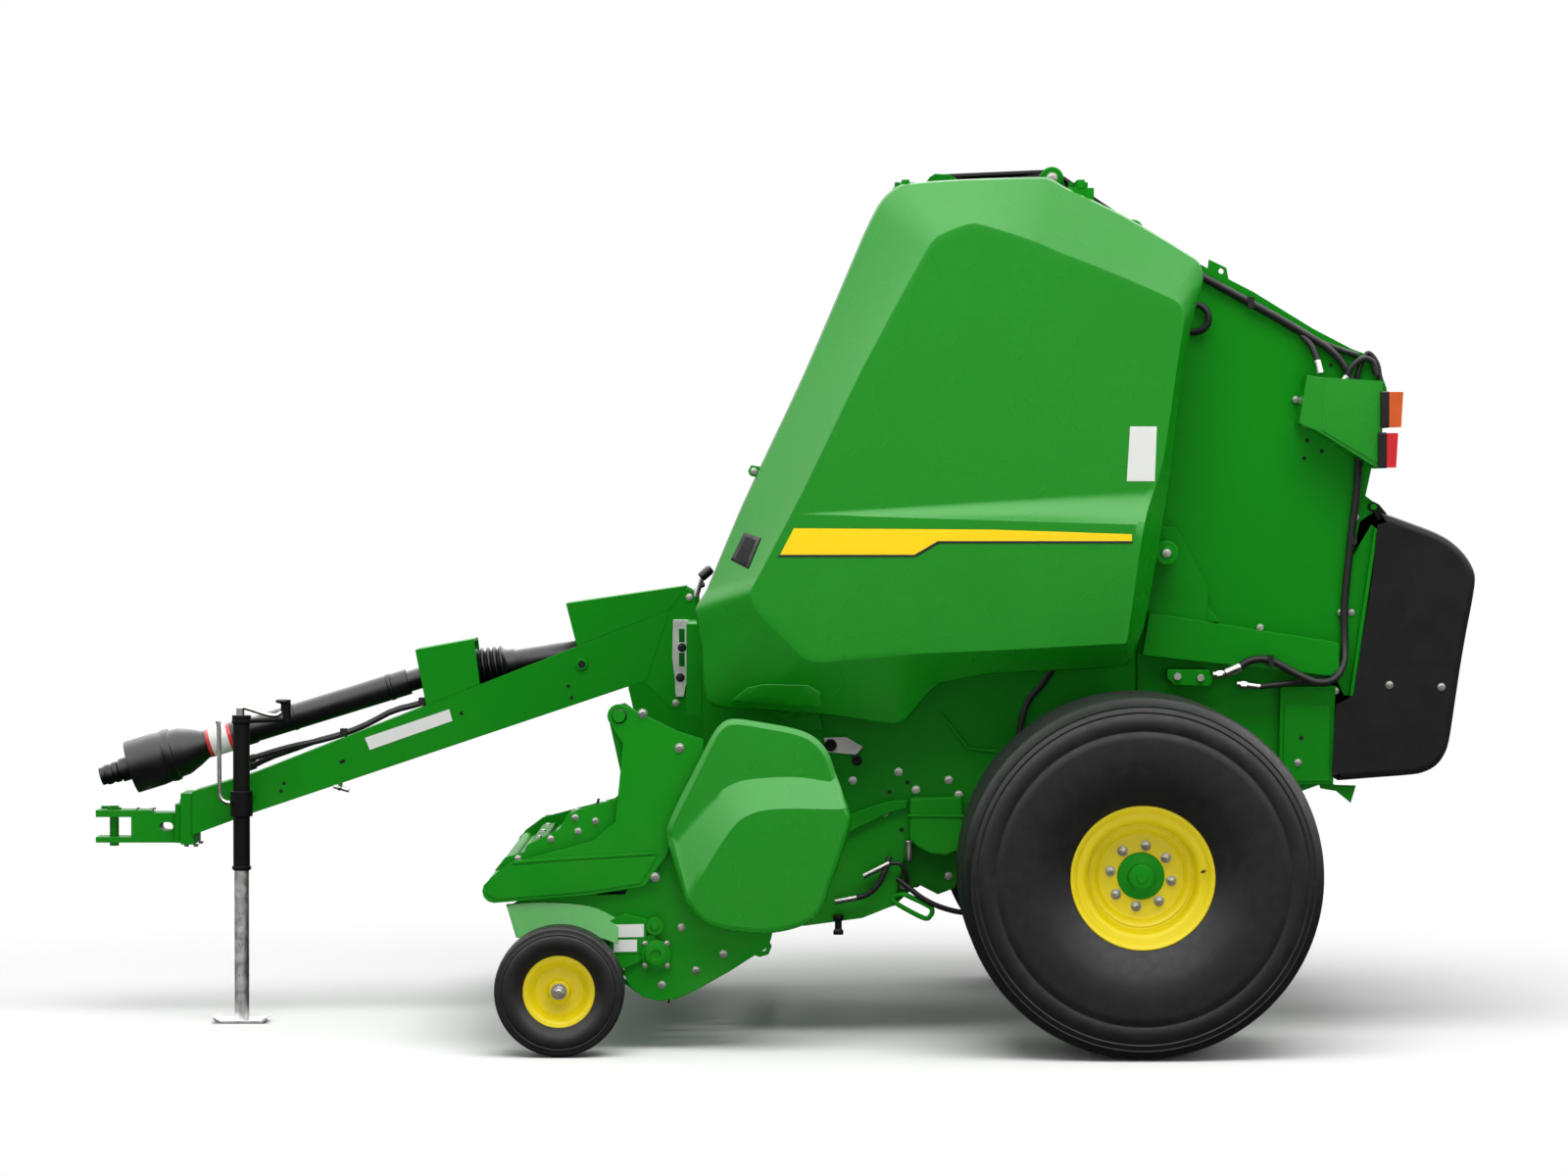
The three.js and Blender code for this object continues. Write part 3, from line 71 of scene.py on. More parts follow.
def reach(node):
    """A CAD node's lowest and highest corner, in millimetres from the axle."""
    low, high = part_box(node)
    offset = Vector((AXLE.x, 0, 0))
    return (low - offset) * 1000, (high - offset) * 1000


def half(node, axis):
    """Half of a CAD node's length along an axis, in millimetres."""
    low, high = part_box(node)
    return getattr(high - low, axis) * 500


def outer(node):
    """How far out a CAD node's right-hand face stands, in millimetres."""
    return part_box(node)[1].y * 1000


# ---------------------------------------------------------------- materials


def srgb(red, green, blue):
    def linear(value):
        value /= 255
        return value / 12.92 if value <= 0.04045 else ((value + 0.055) / 1.055) ** 2.4

    return (linear(red), linear(green), linear(blue), 1)


DUST = srgb(150, 138, 112)
SCUFF = srgb(86, 85, 81)
BLOOM = srgb(70, 67, 62)
WHITE = (1, 1, 1, 1)


class Wires:
    """A small hand for wiring one node tree."""

    def __init__(self, tree):
        self.tree = tree

    def put(self, socket, value):
        """Link an output to the socket, or set the socket to a plain value."""
        if isinstance(value, bpy.types.NodeSocket):
            self.tree.links.new(value, socket)
        else:
            socket.default_value = value

    def node(self, kind, inputs, output=0, **settings):
        """A new node with its settings and inputs filled in; gives back one of its outputs."""
        node = self.tree.nodes.new(kind)
        for key, value in settings.items():
            setattr(node, key, value)
        for key, value in inputs.items():
            self.put(node.inputs[key], value)
        return node.outputs[output]

    def ray(self, kind):
        return self.node("ShaderNodeLightPath", {}, f"Is {kind} Ray")

    def times(self, a, b):
        return self.node("ShaderNodeMath", {0: a, 1: b}, operation="MULTIPLY")

    def ranged(self, source, low, high, from_low=0.3, from_high=0.7, kind="LINEAR"):
        ends = {"From Min": from_low, "From Max": from_high, "To Min": low, "To Max": high}
        inputs = {"Value": source, **ends}
        return self.node("ShaderNodeMapRange", inputs, "Result", interpolation_type=kind)

    def shaders(self, factor, first, second):
        return self.node("ShaderNodeMixShader", {"Fac": factor, 1: first, 2: second})


class Finish(Wires):
    """One material and its shader."""

    def __init__(self, name):
        self.material = bpy.data.materials.new(name)
        self.material.use_nodes = True
        super().__init__(self.material.node_tree)
        self.shader = self.tree.nodes["Principled BSDF"]
        self.place = self.node("ShaderNodeTexCoord", {}, "Object")

    def noise(self, scale, detail=3, roughness=0.5, stretch=None):
        place = self.place
        if stretch:
            place = self.node("ShaderNodeMapping", {"Vector": place, "Scale": stretch})
        inputs = {"Vector": place, "Scale": scale, "Detail": detail, "Roughness": roughness}
        return self.node("ShaderNodeTexNoise", inputs, "Fac")

    def mix(self, factor, a, b):
        inputs = {"Factor": factor, "A": a, "B": b}
        return self.node("ShaderNodeMix", inputs, "Result", data_type="RGBA")

    def shade(self, colour, source, low, high):
        """The colour, a little darker and lighter where the source says."""
        value = self.ranged(source, low, high, 0.15, 0.85)
        return self.node("ShaderNodeHueSaturation", {"Color": colour, "Value": value}, "Color")

    def bump(self, source, strength, distance, normal=None):
        inputs = {"Height": source, "Strength": strength, "Distance": distance}
        if normal is not None:
            inputs["Normal"] = normal
        return self.node("ShaderNodeBump", inputs, "Normal")

    def rounding(self, radius):
        """Edges that look rounded, or nothing where there is no radius."""
        if radius:
            return self.node("ShaderNodeBevel", {"Radius": radius}, "Normal", samples=4)

    def height_mask(self, low, high):
        """1 at low metres above the ground, 0 at high."""
        height = self.node("ShaderNodeSeparateXYZ", {"Vector": self.place}, "Z")
        return self.ranged(height, 1, 0, low, high)

    def done(self, colour, rough, normal=None, **levels):
        """The material, its shader's inputs filled in; a level's name has _ for a space."""
        inputs = {"Base Color": colour, "Roughness": rough}
        if normal is not None:
            inputs["Normal"] = normal
        inputs.update({key.replace("_", " "): value for key, value in levels.items()})
        for key, value in inputs.items():
            self.put(self.shader.inputs[key], value)
        return self.material


def paint(name, colour, rough, coat=0.0, vary=0.05, edge=0.003, dusty=0.06, peel=0.12, shine=0.5):
    """Sprayed enamel: cloudy tone, orange peel, dust settled low down, soft edges."""
    n = Finish(name)
    tone = n.shade(colour, n.noise(1.7, 4), 1 - vary, 1 + vary)
    dust = n.times(n.ranged(n.noise(4, 4, 0.55), 0, 1, 0.4, 0.75), n.height_mask(0.1, 1.1))
    return n.done(
        n.mix(n.times(dust, dusty), tone, DUST),
        n.ranged(n.noise(6, 2, 0.5), rough - 0.03, rough + 0.05, 0.1, 0.9),
        n.bump(n.noise(420, 2), peel, 0.0004, n.rounding(edge)),
        Coat_Weight=coat,
        Coat_Roughness=0.12,
        Specular_IOR_Level=shine,
    )


def plastic(name, colour, rough, grain=0.35, edge=0.004, shine=0.25):
    """Moulded plastic with a fine leathery texture and a little scuffing."""
    n = Finish(name)
    tone = n.shade(colour, n.noise(2.3, 4), 0.88, 1.12)
    scuff = n.ranged(n.noise(26, 8, 0.7), 0, 0.06, 0.58, 0.78)
    return n.done(
        n.mix(scuff, tone, SCUFF),
        n.ranged(n.noise(14, 5), rough - 0.07, rough + 0.1),
        n.bump(n.noise(900, 2), grain, 0.0005, n.rounding(edge)),
        Specular_IOR_Level=shine,
    )


def metal(name, colour, rough, brushed=None):
    """Bare or plated steel, with fine brushing where a direction is given, and faint stains."""
    n = Finish(name)
    grain = n.noise(160, 2, stretch=brushed) if brushed else n.noise(700, 2)
    return n.done(
        n.shade(colour, n.noise(22, 6, 0.65), 0.8, 1.08),
        n.ranged(n.noise(35, 5), rough - 0.1, rough + 0.12),
        n.bump(grain, 0.2, 0.0003, n.rounding(0.0015)),
        Metallic=1,
    )


def rubber(name, colour, rough, grain=0.3):
    """Tyre rubber: dull, with mould dust and darker and greyer patches."""
    n = Finish(name)
    tone = n.shade(colour, n.noise(3.1, 5), 0.82, 1.18)
    bloom = n.ranged(n.noise(17, 8, 0.7), 0, 0.12, 0.5, 0.8)
    return n.done(
        n.mix(bloom, tone, BLOOM),
        n.ranged(n.noise(40, 6), rough - 0.08, rough + 0.08),
        n.bump(n.noise(650, 3), grain, 0.0005),
        Specular_IOR_Level=0.28,
    )


def belting(name):
    """Woven belt with a diamond-grip face."""
    n = Finish(name)
    skewed = n.node("ShaderNodeMapping", {"Vector": n.place, "Rotation": (0.6, 0.8, 0.78)})
    grip = n.node("ShaderNodeTexChecker", {"Vector": skewed, "Scale": 90}, "Fac")
    tone = n.shade(srgb(30, 30, 31), n.noise(4, 6, 0.6), 0.75, 1.35)
    fine = n.bump(n.noise(500, 2), 0.3, 0.0004)
    return n.done(tone, 0.78, n.bump(grip, 0.5, 0.0012, fine))


def lens(name, colour):
    """A moulded lamp lens with vertical flutes."""
    n = Finish(name)
    inputs = {"Vector": n.place, "Scale": 70}
    flutes = n.node("ShaderNodeTexWave", inputs, "Fac", bands_direction="Y")
    tone = n.shade(colour, n.noise(30, 3), 0.9, 1.1)
    return n.done(tone, 0.12, n.bump(flutes, 0.5, 0.001), Coat_Weight=0.6)


GREEN = paint("green_panel", srgb(12, 128, 14), 0.26, dusty=0.04, peel=0.05)
FRAME_GREEN = paint("green_steel", srgb(14, 126, 18), 0.4, edge=0.004, peel=0.2, shine=0.09)
# A darker copy of the frame green for parts inside, underneath or behind the machine: painted
# shade, not a different paint.
SHADED_GREEN = paint("green_painted_shade", srgb(10, 92, 14), 0.5, vary=0.08, peel=0.25, shine=0.06)
YELLOW = paint("yellow_rim", srgb(212, 192, 8), 0.36, vary=0.04, dusty=0.04, shine=0.4)
CLEAN = {"edge": 0, "dusty": 0}
STRIPE = paint("yellow_stripe", srgb(240, 204, 16), 0.3, vary=0.02, peel=0.03, shine=0.3, **CLEAN)
INK = paint("black_stripe", srgb(22, 24, 22), 0.4, 0.2, vary=0.02, peel=0.03, **CLEAN)
PLATE = paint("white_plate", srgb(214, 215, 212), 0.35, 0.3, 0.02, edge=0, dusty=0.1, peel=0.03)
RED = paint("red_band", srgb(196, 34, 40), 0.4, 0.2, vary=0.03, peel=0.05, **CLEAN)
BLACK_PAINT = paint("black_paint", srgb(10, 10, 11), 0.4, vary=0.12, peel=0.2, shine=0.14)
COVER = plastic("black_cover", srgb(25, 25, 26), 0.36, 0.2, shine=0.16)
BLACK = plastic("black_plastic", srgb(13, 13, 14), 0.34, shine=0.4)
# Near-black for holes, slots and recesses: painted shade where the inside of a hole or recess lies
# in shadow.
HOLE_SHADE = plastic("painted_hole_shade", srgb(9, 9, 9), 0.6, edge=0)
TYRE = rubber("tyre_rubber", srgb(22, 22, 23), 0.46)
HOSE = rubber("hose_rubber", srgb(26, 26, 27), 0.45, 0.15)
BELT = belting("belt_rubber")
ZINC = metal("zinc_plate", srgb(196, 194, 188), 0.34)
STEEL = metal("brushed_steel", srgb(214, 214, 212), 0.42, brushed=(40, 40, 1))
CHROME = metal("chrome", srgb(225, 226, 228), 0.14, brushed=(1, 30, 30))
SHAFT = metal("dark_shaft", srgb(52, 52, 54), 0.45)
AMBER = lens("amber_lens", srgb(196, 78, 4))
RED_LENS = lens("red_lens", srgb(196, 6, 18))


# ---------------------------------------------------------------- shapes


class Shape:
    """Vertices in millimetres from the axle, and the faces between them."""

    def __init__(self, verts=(), faces=()):
        self.verts = [tuple(v) for v in verts]
        self.faces = [tuple(f) for f in faces]

    def __add__(self, other):
        start = len(self.verts)
        faces = self.faces + [tuple(i + start for i in f) for f in other.faces]
        return Shape(self.verts + other.verts, faces)

    def mirrored(self):
        return Shape([(x, -y, z) for x, y, z in self.verts], [f[::-1] for f in self.faces])

    def moved(self, offset):
        dx, dy, dz = offset
        return Shape([(x + dx, y + dy, z + dz) for x, y, z in self.verts], self.faces)


def total(shapes):
    whole = Shape()
    for shape in shapes:
        whole = whole + shape
    return whole


def prism(points, y0, y1):
    """An outline in X and Z, from one Y to another."""
    count = len(points)
    verts = [(x, y, z) for y in (y0, y1) for x, z in points]
    walls = [(i, (i + 1) % count, (i + 1) % count + count, i + count) for i in range(count)]
    return Shape(verts, [tuple(range(count))[::-1], tuple(range(count, 2 * count)), *walls])


def block(x0, x1, y0, y1, z0, z1):
    return prism([(x0, z0), (x0, z1), (x1, z1), (x1, z0)], y0, y1)


def basis(axis):
    axis = Vector(axis).normalized()
    side = axis.orthogonal().normalized()
    return axis, side, axis.cross(side)


def turned(profile, centre, axis, sides, closed=False, start=0.0):
    """A turned piece: (radius, height) points round an axis; open ends close on the axis."""
    axis, u, v = basis(axis)
    centre = Vector(centre)
    rings, verts, faces = [], [], []
    for radius, height in profile:
        if radius < 1e-6:
            rings.append([len(verts)] * sides)
            verts.append(centre + axis * height)
            continue
        rings.append([len(verts) + k for k in range(sides)])
        for k in range(sides):
            angle = start + 2 * math.pi * k / sides
            out = u * math.cos(angle) + v * math.sin(angle)
            verts.append(centre + axis * height + out * radius)
    pairs = list(zip(rings, rings[1:])) + ([(rings[-1], rings[0])] if closed else [])
    for low, high in pairs:
        for k in range(sides):
            j = (k + 1) % sides
            face = [low[k], low[j], high[j], high[k]]
            face = [i for n, i in enumerate(face) if i not in face[:n]]
            if len(face) > 2:
                faces.append(face)
    return Shape(verts, faces)


def bar(radius, a, b, sides=16, edge=0.0):
    """A round bar from a to b, its end edges broken by edge."""
    a, b = Vector(a), Vector(b)
    length = (b - a).length
    rim = [(radius - edge, 0), (radius, edge), (radius, length - edge), (radius - edge, length)]
    profile = [(0, 0), *(rim if edge else [(radius, 0), (radius, length)]), (0, length)]
    return turned(profile, a, b - a, sides)


def smooth_path(points, per=6):
    """Points on a smooth curve through the given ones."""
    points = [Vector(p) for p in points]
    ends = [points[0] * 2 - points[1], *points, points[-1] * 2 - points[-2]]
    path = []
    for p0, p1, p2, p3 in zip(ends, ends[1:], ends[2:], ends[3:]):
        for k in range(per):
            t = k / per
            path.append(
                0.5
                * (
                    2 * p1
                    + (p2 - p0) * t
                    + (2 * p0 - 5 * p1 + 4 * p2 - p3) * t * t
                    + (3 * p1 - p0 - 3 * p2 + p3) * t * t * t
                )
            )
    return [*path, points[-1]]


def tube(points, radius, sides=10, per=6, closed=False):
    """A round tube along a smooth curve through the points."""
    path = smooth_path(points, per) if per > 1 else [Vector(p) for p in points]
    count = len(path)
    side = None
    verts, faces = [], []
    for i, p in enumerate(path):
        before = path[i - 1] if i or closed else p
        after = path[(i + 1) % count] if i < count - 1 or closed else p
        along = (after - before).normalized()
        side = along.orthogonal() if side is None else side - along * side.dot(along)
        side.normalize()
        up = along.cross(side)
        for k in range(sides):
            angle = 2 * math.pi * k / sides
            verts.append(p + (side * math.cos(angle) + up * math.sin(angle)) * radius)
    for i in range(count if closed else count - 1):
        low, high = i * sides, (i + 1) % count * sides
        for k in range(sides):
            j = (k + 1) % sides
            faces.append((low + k, low + j, high + j, high + k))
    if not closed:
        faces += [tuple(range(sides))[::-1], tuple(range((count - 1) * sides, count * sides))]
    return Shape(verts, faces)


def bolt(place, axis, size):
    """A hexagon head on its washer."""
    washer = [(0, 0), (size * 0.72, 0), (size * 0.72, size * 0.12), (0, size * 0.12)]
    flat = size * 0.5
    low, high = size * 0.12, size * 0.52
    head = [(0, low), (flat, low), (flat, high - size * 0.07), (flat * 0.86, high), (0, high)]
    return turned(washer, place, axis, 14) + turned(head, place, axis, 6)


def circle_of(centre, axis, radius, count, start):
    """Places on a circle round an axis."""
    _, u, v = basis(axis)
    turns = [start + 2 * math.pi * k / count for k in range(count)]
    return [Vector(centre) + (u * math.cos(a) + v * math.sin(a)) * radius for a in turns]


def shape_of(work):
    """The bmesh as a Shape; the bmesh is freed."""
    work.verts.index_update()
    shape = Shape([v.co for v in work.verts], [[v.index for v in f.verts] for f in work.faces])
    work.free()
    return shape


def walls(work, rings):
    """Faces between closed rings of the same count."""
    for low, high in zip(rings, rings[1:]):
        for i in range(len(low)):
            j = (i + 1) % len(low)
            work.faces.new((low[i], low[j], high[j], high[i]))



# ---------------------------------------------------------------- pieces

WELD = 0.01  # mm
PROUD = 0.8  # mm
BEVEL_FROM = math.radians(35)


def finish_mesh(mesh, angle):
    for polygon in mesh.polygons:
        polygon.use_smooth = True
    mesh.set_sharp_from_angle(angle=math.radians(angle))


def piece(name, shape, material, body, bevel=0.0, segments=2, angle=32, solid=0.0, stands_for=None):
    """A new visible piece that rides on a body, and may stand for a CAD node."""
    mesh = bpy.data.meshes.new(name)
    mesh.from_pydata([metres(v) for v in shape.verts], [], shape.faces)
    work = bmesh.new()
    work.from_mesh(mesh)
    bmesh.ops.remove_doubles(work, verts=work.verts, dist=WELD / 1000)
    if not solid:
        bmesh.ops.recalc_face_normals(work, faces=work.faces)
    work.to_mesh(mesh)
    work.free()
    made = bpy.data.objects.new(name, mesh)
    bpy.context.scene.collection.objects.link(made)
    mesh.materials.append(material)
    finish_mesh(mesh, angle)
    if solid:
        thick = made.modifiers.new("thickness", "SOLIDIFY")
        thick.thickness = solid / 1000
        thick.offset = -1
        even = made.modifiers.new("flat_faces", "WEIGHTED_NORMAL")
        even.keep_sharp = True
    if bevel:
        soft = made.modifiers.new("soft_edges", "BEVEL")
        soft.width = bevel / 1000
        soft.segments = segments
        soft.limit_method = "ANGLE"
        soft.angle_limit = BEVEL_FROM
        soft.harden_normals = True
    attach(made, body)
    if stands_for:
        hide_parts(stands_for)


def pair(name, shape, material, body, stands_for="", **options):
    """A right-hand piece (+Y) and its left-hand twin. A {} in a name is filled with the side."""
    for side, sign in SIDES.items():
        own = shape if sign > 0 else shape.mirrored()
        node = stands_for.format(side)
        piece(f"{side}_{name}", own, material, body.format(side), stands_for=node, **options)


def bolts(name, points, out, size, body="frame"):
    """Zinc bolts at (x, z) points on both flanks, heads outwards."""
    heads = total(bolt((x, out, z), ACROSS, size) for x, z in points)
    pair(name, heads, ZINC, body, angle=30)


def discs(name, points, out, radius, body="frame", material=HOLE_SHADE):
    """Thin discs on both flanks, a little proud of the face, that read as drilled holes: near-black
    by default, painted shade for the hole's inside.
    """
    made = total(bar(radius, (x, out - 1, z), (x, out + PROUD, z), 16) for x, z in points)
    pair(name, made, material, body)


def plates(name, outline, near, far, bevel=0.0, body="frame", material=FRAME_GREEN, **options):
    """A flat plate on both flanks, its outline in X and Z, from one Y to another."""
    pair(name, prism(outline, near, far), material, body, bevel=bevel, **options)


def line(points, near, radius, sides=10, per=6, closed=False):
    """A tube through (x, out, z) points, with out counted from near."""
    return tube([(x, near + out, z) for x, out, z in points], radius, sides, per, closed)


def rods(rows, near, edge=2.0):
    """Round bars between (x, out, z) ends, one a row: radius, end, end, sides."""
    return total(
        bar(radius, (a[0], near + a[1], a[2]), (b[0], near + b[1], b[2]), sides, edge)
        for radius, a, b, sides in rows
    )


# ---------------------------------------------------------------- camera, light and floor

CAMERA_PLACE = (0.0375, -16.3, 1.739)
CAMERA_DIP = 1.23  # degrees below level
camera_data = bpy.data.cameras.new("camera")
camera_data.sensor_width = 36
camera_data.lens = 115.2
camera = bpy.data.objects.new("camera", camera_data)
bpy.context.scene.collection.objects.link(camera)
camera.location = CAMERA_PLACE
camera.rotation_euler = (math.radians(90 - CAMERA_DIP), 0, 0)
bpy.context.scene.camera = camera
bpy.context.scene.view_settings.view_transform = "Standard"


def lamp(name, place, aim, size, power):
    data = bpy.data.lights.new(name, "AREA")
    data.shape = "RECTANGLE"
    data.size, data.size_y = size
    data.energy = power
    made = bpy.data.objects.new(name, data)
    made.location = place
    made.rotation_euler = (Vector(aim) - Vector(place)).to_track_quat("-Z", "Y").to_euler()
    made.visible_glossy = False
    bpy.context.scene.collection.objects.link(made)


lamp("key", (0.8, -5.0, 9.0), (0, 0, 1.2), (9, 6), 850)
lamp("fill", (0.5, -9.0, 1.6), (0.3, 0, 1.2), (7, 2.4), 70)
lamp("back", (2.0, 9.0, 3.2), (0, 0, 1.4), (6, 3), 40)


def make_world():
    """White to the camera, a soft sky for plain light, a bright ceiling in reflections."""
    world = bpy.data.worlds.new("studio")
    bpy.context.scene.world = world
    world.use_nodes = True
    n = Wires(world.node_tree)
    place = n.node("ShaderNodeTexCoord", {}, "Generated")
    height = n.node("ShaderNodeSeparateXYZ", {0: place}, "Z")

    def sky(horizon, ceiling, low, high):
        strength = n.ranged(height, horizon, ceiling, low, high, "SMOOTHSTEP")
        return n.node("ShaderNodeBackground", {"Color": WHITE, "Strength": strength})

    plain, mirrored = sky(0.07, 0.55, 0.0, 0.9), sky(0.5, 4.2, 0.06, 0.6)
    lit = n.shaders(n.ray("Glossy"), plain, mirrored)
    both = {0: n.ray("Camera"), 1: n.ray("Transmission")}
    seen = n.node("ShaderNodeMath", both, operation="MAXIMUM")
    white = n.node("ShaderNodeBackground", {"Color": WHITE, "Strength": 1})
    n.tree.nodes.remove(n.tree.nodes["Background"])
    n.put(n.tree.nodes["World Output"].inputs["Surface"], n.shaders(seen, lit, white))


def make_floor():
    """A pale floor that runs out into plain white away from the machine, dim in reflections."""
    half = 60
    mesh = bpy.data.meshes.new("studio_floor")
    corners = [(-half, -half, 0), (half, -half, 0), (half, half, 0), (-half, half, 0)]
    mesh.from_pydata(corners, [], [(0, 1, 2, 3)])
    floor = bpy.data.objects.new("studio_floor", mesh)
    floor.location.z = -0.0015
    bpy.context.scene.collection.objects.link(floor)
    n = Finish("studio_floor")
    mesh.materials.append(n.done((0.9, 0.9, 0.9, 1), 0.85))
    stretch = {0: n.place, 1: (0.24, 0.3, 0)}
    squashed = n.node("ShaderNodeVectorMath", stretch, operation="MULTIPLY")
    away = n.node("ShaderNodeVectorMath", {0: squashed}, "Value", operation="LENGTH")
    fade = n.ranged(away, 0, 1, 0.55, 1.15, "SMOOTHSTEP")
    glow = n.node("ShaderNodeEmission", {"Color": WHITE})
    dim = n.node("ShaderNodeEmission", {"Color": (0.04, 0.04, 0.04, 1)})
    pale = n.shaders(n.times(fade, n.ray("Camera")), n.shader.outputs[0], glow)
    whole = n.shaders(n.ray("Glossy"), pale, dim)
    n.put(n.tree.nodes["Material Output"].inputs["Surface"], whole)


make_world()
make_floor()

# ---------------------------------------------------------------- materials of the CAD nodes

PAINTED = {
    FRAME_GREEN: (
        "axle_beam front_frame front_wall tongue height_plate hitch_clevis hitch_pin "
        "driveline_support gearbox_cover gate_side gate_top_cross gate_rear_cross "
        "gate_lower_cross ram_barrel pickup_side pickup_bands wind_guard main_hub"
    ),
    # The gearbox, drive housing, pickup reel and feed rotor take the darker green: painted shade
    # for parts inside the machine.
    SHADED_GREEN: "drive_housing gearbox pickup_reel feed_rotor",
    GREEN: "lamp_bracket side_shield drive_shield",
    BLACK: "driveline_inner_guard driveline_rear_guard driveline_bell_guard",
    BLACK_PAINT: "jack_tube",
    COVER: "net_cover",
    SHAFT: "driveline_yoke",
    HOSE: "tongue_hoses gate_hose",
    BELT: "front_belts gate_belts",
    TYRE: "main_tyre gauge_tyre",
    YELLOW: "main_rim gauge_rim",
    STEEL: "jack_leg",
    CHROME: "ram_rod",
    AMBER: "turn_lamp",
    RED_LENS: "tail_lamp",
}
MATERIAL_OF = {name: material for material, names in PAINTED.items() for name in names.split()}
NODE_WELD = 0.00002  # m
CRISP_FROM = math.radians(28)
for name, node in NODES.items():
    plain = name.removeprefix("left_").removeprefix("right_")
    node.data.materials.clear()
    node.data.materials.append(MATERIAL_OF[plain])
    node.data.polygons.foreach_set("use_smooth", [True] * len(node.data.polygons))
    if "custom_normal" in node.data.attributes:
        node.data.attributes.remove(node.data.attributes["custom_normal"])
    node.modifiers.new("weld", "WELD").merge_threshold = NODE_WELD
    node.modifiers.new("crisp_edges", "EDGE_SPLIT").split_angle = CRISP_FROM

# ---------------------------------------------------------------- side shields

SHIELD_FACE_OUT = outer("right_side_shield")
SHIELD_RIM_OUT = SHIELD_FACE_OUT - 140
SHIELD_RIM = [
    (-1348, 1338), (-1312, 1405), (-1197, 1678), (-1014, 2067), (-832, 2492), (-777, 2599),
    (-711, 2650), (-528, 2665), (-270, 2672), (-209, 2641), (-27, 2553), (195, 2419),
    (216, 2362), (201, 2301), (155, 2104), (116, 1769), (79, 1526), (34, 1283), (-12, 1177),
    (-42, 1162), (-437, 1141), (-589, 1113), (-635, 1077), (-695, 1004), (-741, 986),
    (-954, 1016), (-1197, 1034), (-1312, 1056), (-1330, 1223),
]  # fmt: skip
SHIELD_FACE = [
    (-1178, 1395), (-1150, 1450), (-1015, 1709), (-835, 2080), (-660, 2400), (-625, 2460),
    (-595, 2489), (-490, 2525), (-310, 2470), (-235, 2438), (-60, 2370), (110, 2297),
    (140, 2275), (152, 2225), (132, 2085), (88, 1790), (30, 1610), (-2, 1400), (-25, 1244),
    (-60, 1238), (-445, 1217), (-600, 1211), (-670, 1208), (-740, 1202), (-800, 1197),
    (-970, 1184), (-1015, 1199), (-1120, 1300), (-1165, 1350),
]  # fmt: skip
LEDGE_POINT = (-1070, 1636)  # where the pressed ledge starts, at the front
LEDGE_FOOT = (40, 1603)
LEDGE_HEAD = (66, 1712)
LEDGE_DEPTH = 58
FLAT_START = 22  # how far in from the face's edge the flat part starts
RIM_ROWS = ((26, 2), (4, 2), (0, 7), (0, 32))  # in from the rim's edge, and out from its back
RIM_DEPTH = 40
FLANK_ROWS = (0.03, 0.09, 0.3, 0.55, 0.8, 0.93, 0.975)  # shares of the way from rim to face
SHIELD_MIDDLE = (-480, 1800)


def rounded(points, per=5, pull=0.42):
    """The closed outline with its points joined by a smooth curve."""
    count = len(points)
    done = []
    for i in range(count):
        p0, p1, p2, p3 = (Vector(points[(i + k - 1) % count]) for k in range(4))
        chord = (p2 - p1).length
        m1 = (p2 - p0).normalized() * min(chord, (p1 - p0).length) * pull * 2
        m2 = (p3 - p1).normalized() * min(chord, (p3 - p2).length) * pull * 2
        for k in range(per):
            t = k / per
            t2, t3 = t * t, t * t * t
            spot = p1 * (2 * t3 - 3 * t2 + 1) + m1 * (t3 - 2 * t2 + t)
            done.append(tuple(spot + p2 * (3 * t2 - 2 * t3) + m2 * (t3 - t2)))
    return done


def inset(points, distance):
    """The outline moved inwards by a distance."""
    count = len(points)
    area = sum(
        points[i][0] * points[(i + 1) % count][1] - points[(i + 1) % count][0] * points[i][1]
        for i in range(count)
    )
    turn = math.copysign(1, area)
    moved = []
    for i in range(count):
        a, p, b = (Vector(points[(i + k - 1) % count]) for k in range(3))
        u, v = (p - a).normalized(), (b - p).normalized()
        n = Vector((-u.y - v.y, u.x + v.x)) * turn
        moved.append(tuple(p + n * (2 * distance / max(n.length_squared, 0.4))))
    return moved


def towards(point, middle, distance):
    """The point moved a distance towards a middle."""
    start = Vector(point)
    return tuple(start + (Vector(middle) - start).normalized() * distance)


def smoothstep(t):
    t = max(0.0, min(1.0, t))
    return t * t * (3 - 2 * t)


def slope_to(point, x, z):
    return (z - point[1]) / max(1.0, x - point[0])


def shield_out(x, z):
    """How far the shield's face stands from the centre plane."""
    steep = slope_to(LEDGE_POINT, x, z)
    foot = (LEDGE_FOOT[1] - LEDGE_POINT[1]) / (LEDGE_FOOT[0] - LEDGE_POINT[0])
    head = (LEDGE_HEAD[1] - LEDGE_POINT[1]) / (LEDGE_HEAD[0] - LEDGE_POINT[0])
    above = max(0.0, min(1.0, (steep - foot) / (head - foot)))
    rise = 1 - (1 - above) ** 2 if above < 1 else 1
    deep = LEDGE_DEPTH * smoothstep((x - LEDGE_POINT[0]) / 1000)
    return SHIELD_FACE_OUT - deep * rise


